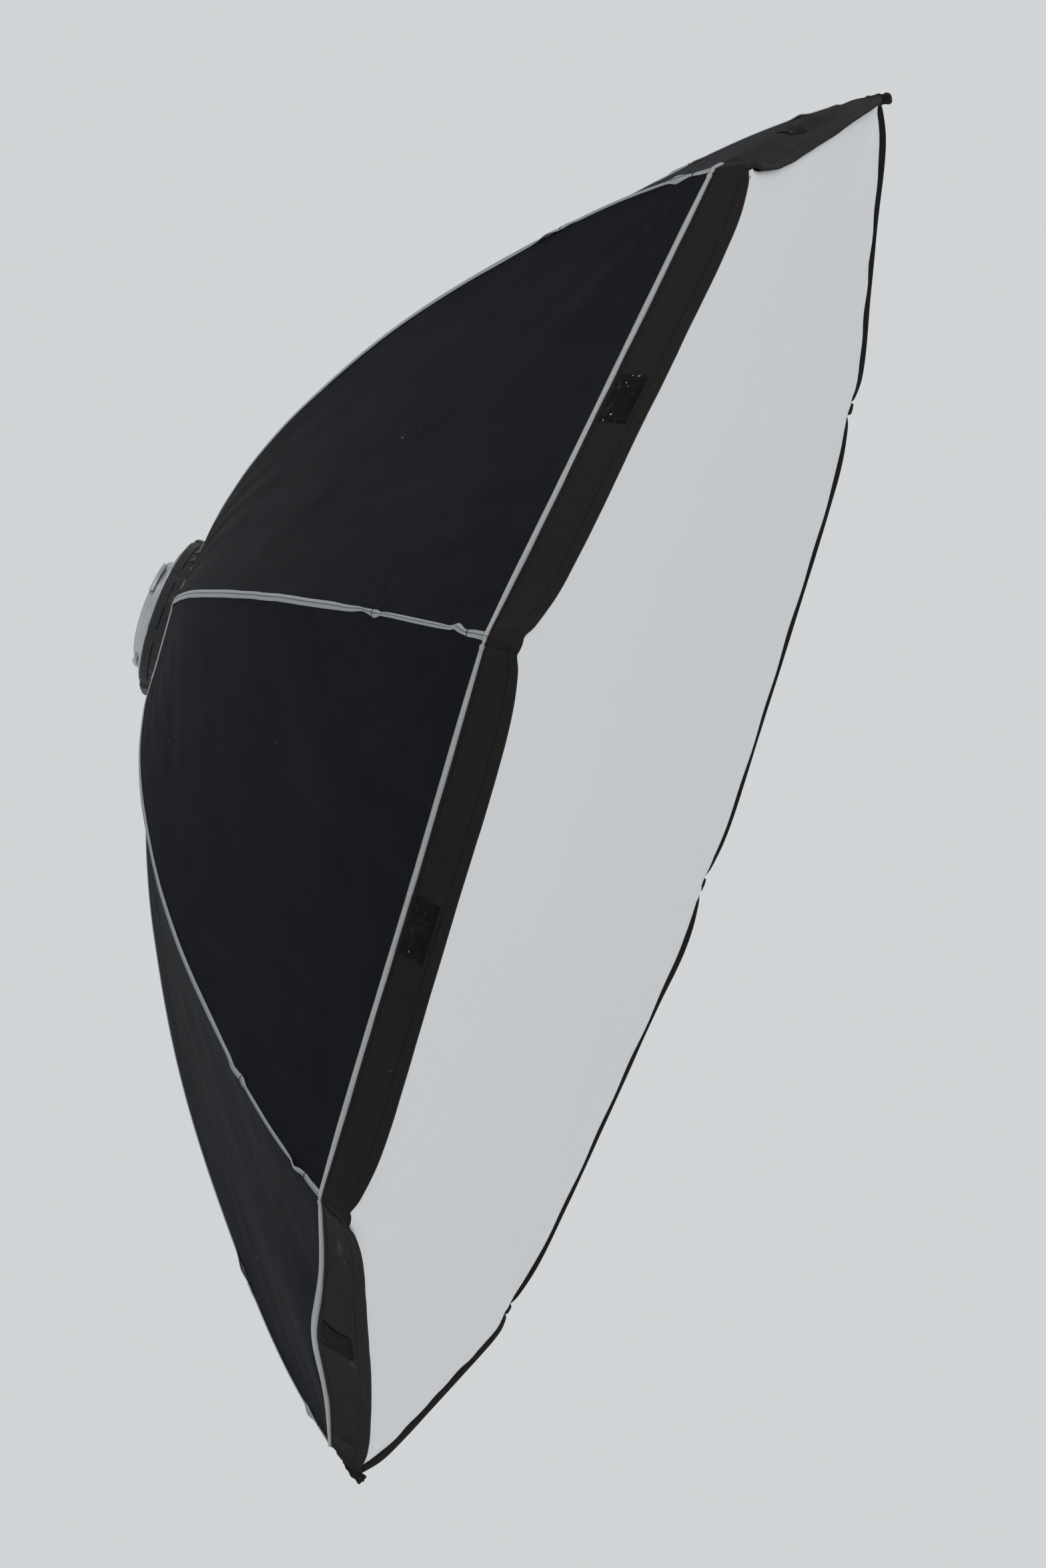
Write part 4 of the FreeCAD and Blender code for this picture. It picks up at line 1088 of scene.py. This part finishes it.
    # wire loop for the baffle's cord, on a tab of tape sewn to the rod's seam
    a = np.linspace(0, 2 * np.pi, 29)[:-1]
    ctr = d * (WALL - 0.020) + YV * (BAFFLE_Y + 0.0022) + t * 0.013
    ring_ = ctr + np.cos(a)[:, None] * d * 0.0055 + np.sin(a)[:, None] * t * 0.0050
    b.tube(ring_, YV, 0.0011, 0.0011, 2, 10, closed=True)
    strap = np.array([ctr + d * 0.0040, ctr + d * 0.0075 + YV * 0.0004, ctr + d * 0.0110 + YV * 0.0008, ctr + d * 0.0135 + YV * 0.0012])
    b.tube(strap, YV, 0.0011, 0.0042, 0, 12, power=0.6)
    piece(b, "corner_pocket_%d" % (k + 1), [POCKET, WEBBING, HARD["loop_wire"]], "rod_arm_%d" % (k + 1), ["corner_pockets", "baffle_loops"])


# ------------------------------------------------------------------ front diffuser
def octagon_grid(R, nz, nx):
    """Rows across an octagon with corners at the top and bottom: x and z of a grid without folded cells."""
    c45 = math.cos(STEP)
    zs = np.unique(np.r_[np.linspace(-1, -c45, int(nz * 0.18)), np.linspace(-c45, 0, int(nz * 0.32)), np.linspace(0, c45, int(nz * 0.32)), np.linspace(c45, 1, int(nz * 0.18))])
    zs[0], zs[-1] = -0.9965, 0.9965
    corners = [(math.sin(STEP * i), math.cos(STEP * i)) for i in range(5)]
    cz = np.array([c[1] for c in corners])[::-1]
    cx = np.array([c[0] for c in corners])[::-1]
    half = np.interp(zs, cz, cx)
    b = np.sin(np.linspace(-1, 1, nx) * np.pi / 2 * 0.86) / math.sin(np.pi / 2 * 0.86)
    Z, B = np.meshgrid(zs, b, indexing="ij")
    return B * half[:, None] * R, Z * R


def edge_info(X, Z, R):
    """Distance to the nearest side, that side, and the place along it."""
    dist = np.full(X.shape, 1e9)
    side = np.zeros(X.shape, int)
    U = np.zeros(X.shape)
    for j in range(SIDES):
        d0, d1 = side_dirs(j)
        m = (d0 + d1) / np.linalg.norm(d0 + d1)
        e = R * CH - (X * m[0] + Z * m[2])
        tdir = (d1 - d0) / np.linalg.norm(d1 - d0)
        u = (X * tdir[0] + Z * tdir[2]) / (2 * R * math.sin(HALF)) + 0.5
        pick = e < dist
        dist = np.where(pick, e, dist)
        side = np.where(pick, j, side)
        U = np.where(pick, u, U)
    return np.maximum(dist, 0), side, np.clip(U, 0, 1)


def front_sheet(X, Z, R=0.7075):
    e, side, U = edge_info(X, Z, R)
    width = 2 * R * math.sin(HALF)
    du = np.minimum(U, 1 - U) * width
    shift_x, shift_z = np.zeros_like(X), np.zeros_like(X)
    fwd_edge = np.zeros_like(X)
    for j in range(SIDES):
        s_ = side == j
        if not s_.any():
            continue
        d0, d1 = side_dirs(j)
        m = (d0 + d1) / np.linalg.norm(d0 + d1)
        F = lip_front(j, U[s_])
        flat = RIM_R * ((1 - U[s_])[:, None] * d0 + U[s_][:, None] * d1)
        rad = ((F - flat) * m).sum(-1)
        g = (np.minimum(rad, 0.0) * (1 - np.exp(-(du[s_] / 0.010) ** 2)) - 0.0032 * (1 - np.exp(-(du[s_] / 0.008) ** 2))) * np.exp(-e[s_] / 0.05)
        shift_x[s_], shift_z[s_] = m[0] * g, m[2] * g
        fwd_edge[s_] = -F[:, 1]
    y = -0.4832 - 0.0012 * np.exp(-((X ** 2 + Z ** 2) / 0.30 ** 2))
    for k in range(SIDES):
        d = rib_dir(k) * R
        dx, dz = X - d[0], Z - d[2]
        dc = np.hypot(dx, dz) + 1e-9
        y = y + 0.0098 * np.exp(-(dc / 0.046) ** 1.25)
        th = np.arctan2(dx * rib_tan(k)[0] + dz * rib_tan(k)[2], -(dx * rib_dir(k)[0] + dz * rib_dir(k)[2]))
        y = y + 0.0019 * np.sin(15.0 * th + 1.3 * k + 3.0 * noise(dc / 0.11, th * 1.6, 91 + k)) * np.exp(-dc / 0.13) * smooth(dc / 0.035) * smooth(1.3 - np.abs(th))
    # the edge rides on its hook tape: shallow scallops, and a rounded fold at the rim
    y = y + 0.0006 * np.sin(U * 2 * np.pi * 6.0 + side) * np.exp(-e / 0.030) * np.sqrt(np.clip(4 * U * (1 - U), 0, 1))
    y = y + 0.0034 * np.exp(-(e / 0.0034)) * (1 - np.exp(-(du / 0.010) ** 2))
    y = y + 0.0022 * noise(X / 0.23 + 3.1, Z / 0.34, 95) + 0.0010 * noise(X / 0.075 + Z / 0.21, Z / 0.19, 96) * np.exp(-e / 0.22)
    # soft vertical creases from being folded
    y = y + 0.0007 * noise(X / 0.030 + 0.6 * Z / 0.4, Z / 0.5, 97)
    return np.stack([X + shift_x, y, Z + shift_z], -1)


GX, GZ = octagon_grid(0.7075, 176, 132)
P = front_sheet(GX, GZ)
g0, g1 = np.gradient(P, axis=0), np.gradient(P, axis=1)
NN = np.cross(g0, g1)
NN /= np.linalg.norm(NN, axis=-1, keepdims=True)
b = Build()
b.sheet(P, NN, 0.0008, np.stack([GX, GZ], -1), 0, outward=-YV)
piece(b, "front_diffuser_sheet", [DIFFUSER], "diffuser", ["front_diffuser"])

b = Build()
for j in range(SIDES):
    u = np.linspace(0.5 - 0.235 / 0.5434, 0.5 + 0.235 / 0.5434, 64)
    v = np.linspace(0.44, 0.86, 6)
    V_, U_ = np.meshgrid(v, u, indexing="ij")
    P, N = surface(lambda uu, vv: lip_point(j, uu, vv), U_, V_, 8e-4)
    d0, d1 = side_dirs(j)
    m = (d0 + d1) / np.linalg.norm(d0 + d1)
    if (N * m).sum() < 0:
        N = -N
    b.sheet(P - N * 0.0038, N, 0.0009, np.stack([U_ * 0.543, V_ * 0.0434], -1), 0, outward=m)
piece(b, "diffuser_hem_strips", [HEM], "diffuser", ["diffuser_hem"])

# ------------------------------------------------------------------ inner baffle and its cords
BR = 0.380
GX, GZ = octagon_grid(BR, 90, 64)
e, side, U = edge_info(GX, GZ, BR)
y = BAFFLE_Y + 0.0016 * noise(GX / 0.12, GZ / 0.17, 101) - 0.0030 * np.exp(-(GX ** 2 + GZ ** 2) / 0.16 ** 2)
for k in range(SIDES):
    d = rib_dir(k) * BR
    dc = np.hypot(GX - d[0], GZ - d[2]) + 1e-9
    th = np.arctan2((GX - d[0]) * rib_tan(k)[0] + (GZ - d[2]) * rib_tan(k)[2], -((GX - d[0]) * rib_dir(k)[0] + (GZ - d[2]) * rib_dir(k)[2]))
    y = y + 0.0011 * np.sin(13.0 * th + k) * np.exp(-dc / 0.09) * smooth(dc / 0.03)
# the free edges curve in a little between the cords
pull = 0.0055 * np.sin(np.pi * U) * np.exp(-e / 0.06)
mx = np.zeros_like(GX)
mz = np.zeros_like(GX)
for j in range(SIDES):
    d0, d1 = side_dirs(j)
    m = (d0 + d1) / np.linalg.norm(d0 + d1)
    mx, mz = np.where(side == j, m[0], mx), np.where(side == j, m[2], mz)
P = np.stack([GX - mx * pull, y, GZ - mz * pull], -1)
g0, g1 = np.gradient(P, axis=0), np.gradient(P, axis=1)
NN = np.cross(g0, g1)
NN /= np.linalg.norm(NN, axis=-1, keepdims=True)
b = Build()
b.sheet(P, NN, 0.0008, np.stack([GX, GZ], -1), 0, outward=-YV)
for j in range(SIDES):
    d0, d1 = side_dirs(j)
    m = (d0 + d1) / np.linalg.norm(d0 + d1)
    u = np.linspace(0.0, 1.0, 40)
    path = BR * ((1 - u)[:, None] * d0 + u[:, None] * d1) - m * (0.0055 * np.sin(np.pi * u) + 0.0030)[:, None] + YV * (BAFFLE_Y - 0.0004)
    b.tube(path, YV, 0.0016, 0.0050, 1, 12, power=0.6)
piece(b, "inner_baffle_sheet", [BAFFLE, HEM], "baffle", ["inner_baffle"])

b = Build()
for k in range(SIDES):
    d, t = rib_dir(k), rib_tan(k)
    x0, x1 = BR - 0.010, WALL - 0.0325
    q = np.linspace(0, 1, 30)
    xo = 0.013
    path = d * (x0 + (x1 - x0) * q)[:, None] + t * (xo * smooth(q * 4))[:, None] + YV * (BAFFLE_Y + 0.0022 * smooth(q * 5) + 0.0012 * np.sin(np.pi * q))[:, None]
    b.tube(path, YV, 0.0014, 0.0014, 0, 10)
    # the knot and the plastic hook at the end of the cord
    kn = np.linspace(-0.0045, 0.0045, 11)
    ctr = d * x1 + t * xo + YV * (BAFFLE_Y + 0.0022)
    rad = 0.0036 * np.sqrt(np.clip(1 - (kn / 0.0050) ** 2, 0.02, 1)) * (1 + 0.12 * np.sin(kn * 2400))
    b.tube(ctr + d * kn[:, None], YV, rad, rad * 0.9, 0, 14)
    # eyelet in the baffle's corner
    a = np.linspace(0, 2 * np.pi, 25)[:-1]
    e0 = d * (BR - 0.013) + YV * (BAFFLE_Y - 0.0004)
    b.tube(e0 + np.cos(a)[:, None] * d * 0.0036 + np.sin(a)[:, None] * t * 0.0036, YV, 0.0013, 0.0011, 1, 8, closed=True)
piece(b, "baffle_cord_set", [CORD, HARD["steel"]], "baffle", ["baffle_cords"])

# ------------------------------------------------------------------ camera at the photograph's angle
right = np.array([0.1848, -0.9146, 0.3598])
down = np.array([0.0588, -0.3551, -0.9330])
fwd = np.array([0.9810, 0.1936, -0.0118])
aim = fwd + right * 0.0495 + down * -0.1024
aim = aim / np.linalg.norm(aim)
rt = right - aim * right.dot(aim)
rt = rt / np.linalg.norm(rt)
upv = np.cross(rt, aim)
cam = bpy.data.objects.new("camera", bpy.data.cameras.new("camera"))
bpy.context.scene.collection.objects.link(cam)
cam.matrix_world = Matrix((
    (rt[0], upv[0], -aim[0], -5.951), (rt[1], upv[1], -aim[1], -1.503), (rt[2], upv[2], -aim[2], -0.651), (0, 0, 0, 1)))
cam.data.sensor_fit = "AUTO"
cam.data.sensor_width = 36.0
cam.data.lens = 4763.0 / 2351.0 * 36.0 * 2.0
cam.data.clip_start, cam.data.clip_end = 0.1, 200.0
bpy.context.scene.camera = cam

# ------------------------------------------------------------------ pale floor that curves up all round
def stage_bowl():
    prof = [(0.0, 0.0), (3.0, 0.0), (8.0, 0.0), (14.0, 0.0)]
    R0, fil = 24.0, 10.0
    for i in range(0, 25):
        a = math.pi / 2 * i / 24
        prof.append((R0 - fil + fil * math.sin(a), fil - fil * math.cos(a)))
    prof.append((R0, 24.0))
    seg = 96
    verts, faces = [(0.0, 0.0, 0.0)], []
    for r, z in prof[1:]:
        for i in range(seg):
            a = 2 * math.pi * i / seg
            verts.append((r * math.cos(a), r * math.sin(a), z))
    for i in range(seg):
        faces.append((0, 1 + i, 1 + (i + 1) % seg))
    for q in range(len(prof) - 2):
        for i in range(seg):
            a, b_ = 1 + q * seg + i, 1 + q * seg + (i + 1) % seg
            faces.append((a, a + seg, b_ + seg, b_))
    me = bpy.data.meshes.new("floor")
    me.from_pydata([Vector(v) + Vector((0, -0.24, -1.55)) for v in verts], [], faces)
    for p in me.polygons:
        p.use_smooth = True
    me.update()
    ob = bpy.data.objects.new("floor", me)
    bpy.context.scene.collection.objects.link(ob)
    return ob


floor = stage_bowl()
fm = bpy.data.materials.new("pale_floor")
fm.use_nodes = True
nt = fm.node_tree
nt.nodes.clear()
out = nt.nodes.new("ShaderNodeOutputMaterial")
em = nt.nodes.new("ShaderNodeEmission")
em.inputs[0].default_value = (0.620, 0.634, 0.645, 1)
em.inputs[1].default_value = 0.835
di = nt.nodes.new("ShaderNodeBsdfDiffuse")
di.inputs[0].default_value = (0.19, 0.193, 0.196, 1)
ad = nt.nodes.new("ShaderNodeAddShader")
nt.links.new(em.outputs[0], ad.inputs[0])
nt.links.new(di.outputs[0], ad.inputs[1])
nt.links.new(ad.outputs[0], out.inputs[0])
floor.data.materials.append(fm)

world = bpy.data.worlds.new("world")
bpy.context.scene.world = world
world.use_nodes = True
bg = world.node_tree.nodes.get("Background") or world.node_tree.nodes.new("ShaderNodeBackground")
bg.inputs[0].default_value = (0.640, 0.650, 0.660, 1)
bg.inputs[1].default_value = 1.0


def soft_light(name, loc, target, size, power, colour=(1, 1, 1)):
    l = bpy.data.lights.new(name, "AREA")
    l.shape = "RECTANGLE"
    l.size, l.size_y = size
    l.energy = power
    l.color = colour
    o = bpy.data.objects.new(name, l)
    bpy.context.scene.collection.objects.link(o)
    o.location = loc
    o.rotation_mode = "QUATERNION"
    o.rotation_quaternion = (Vector(target) - Vector(loc)).to_track_quat("-Z", "Y")
    return o


soft_light("key", (-3.6, -0.6, 3.4), (0, -0.2, 0), (2.6, 2.0), 34.0, (1.0, 0.99, 0.97))
soft_light("fill", (-2.4, -4.2, 0.6), (0, -0.3, 0), (2.4, 2.4), 14.0, (0.96, 0.98, 1.0))
soft_light("back", (3.2, 3.0, 2.2), (0, -0.2, 0), (2.2, 2.2), 16.0, (1.0, 1.0, 1.0))

vs = bpy.context.scene.view_settings
vs.view_transform = "Standard"
vs.look = "None"
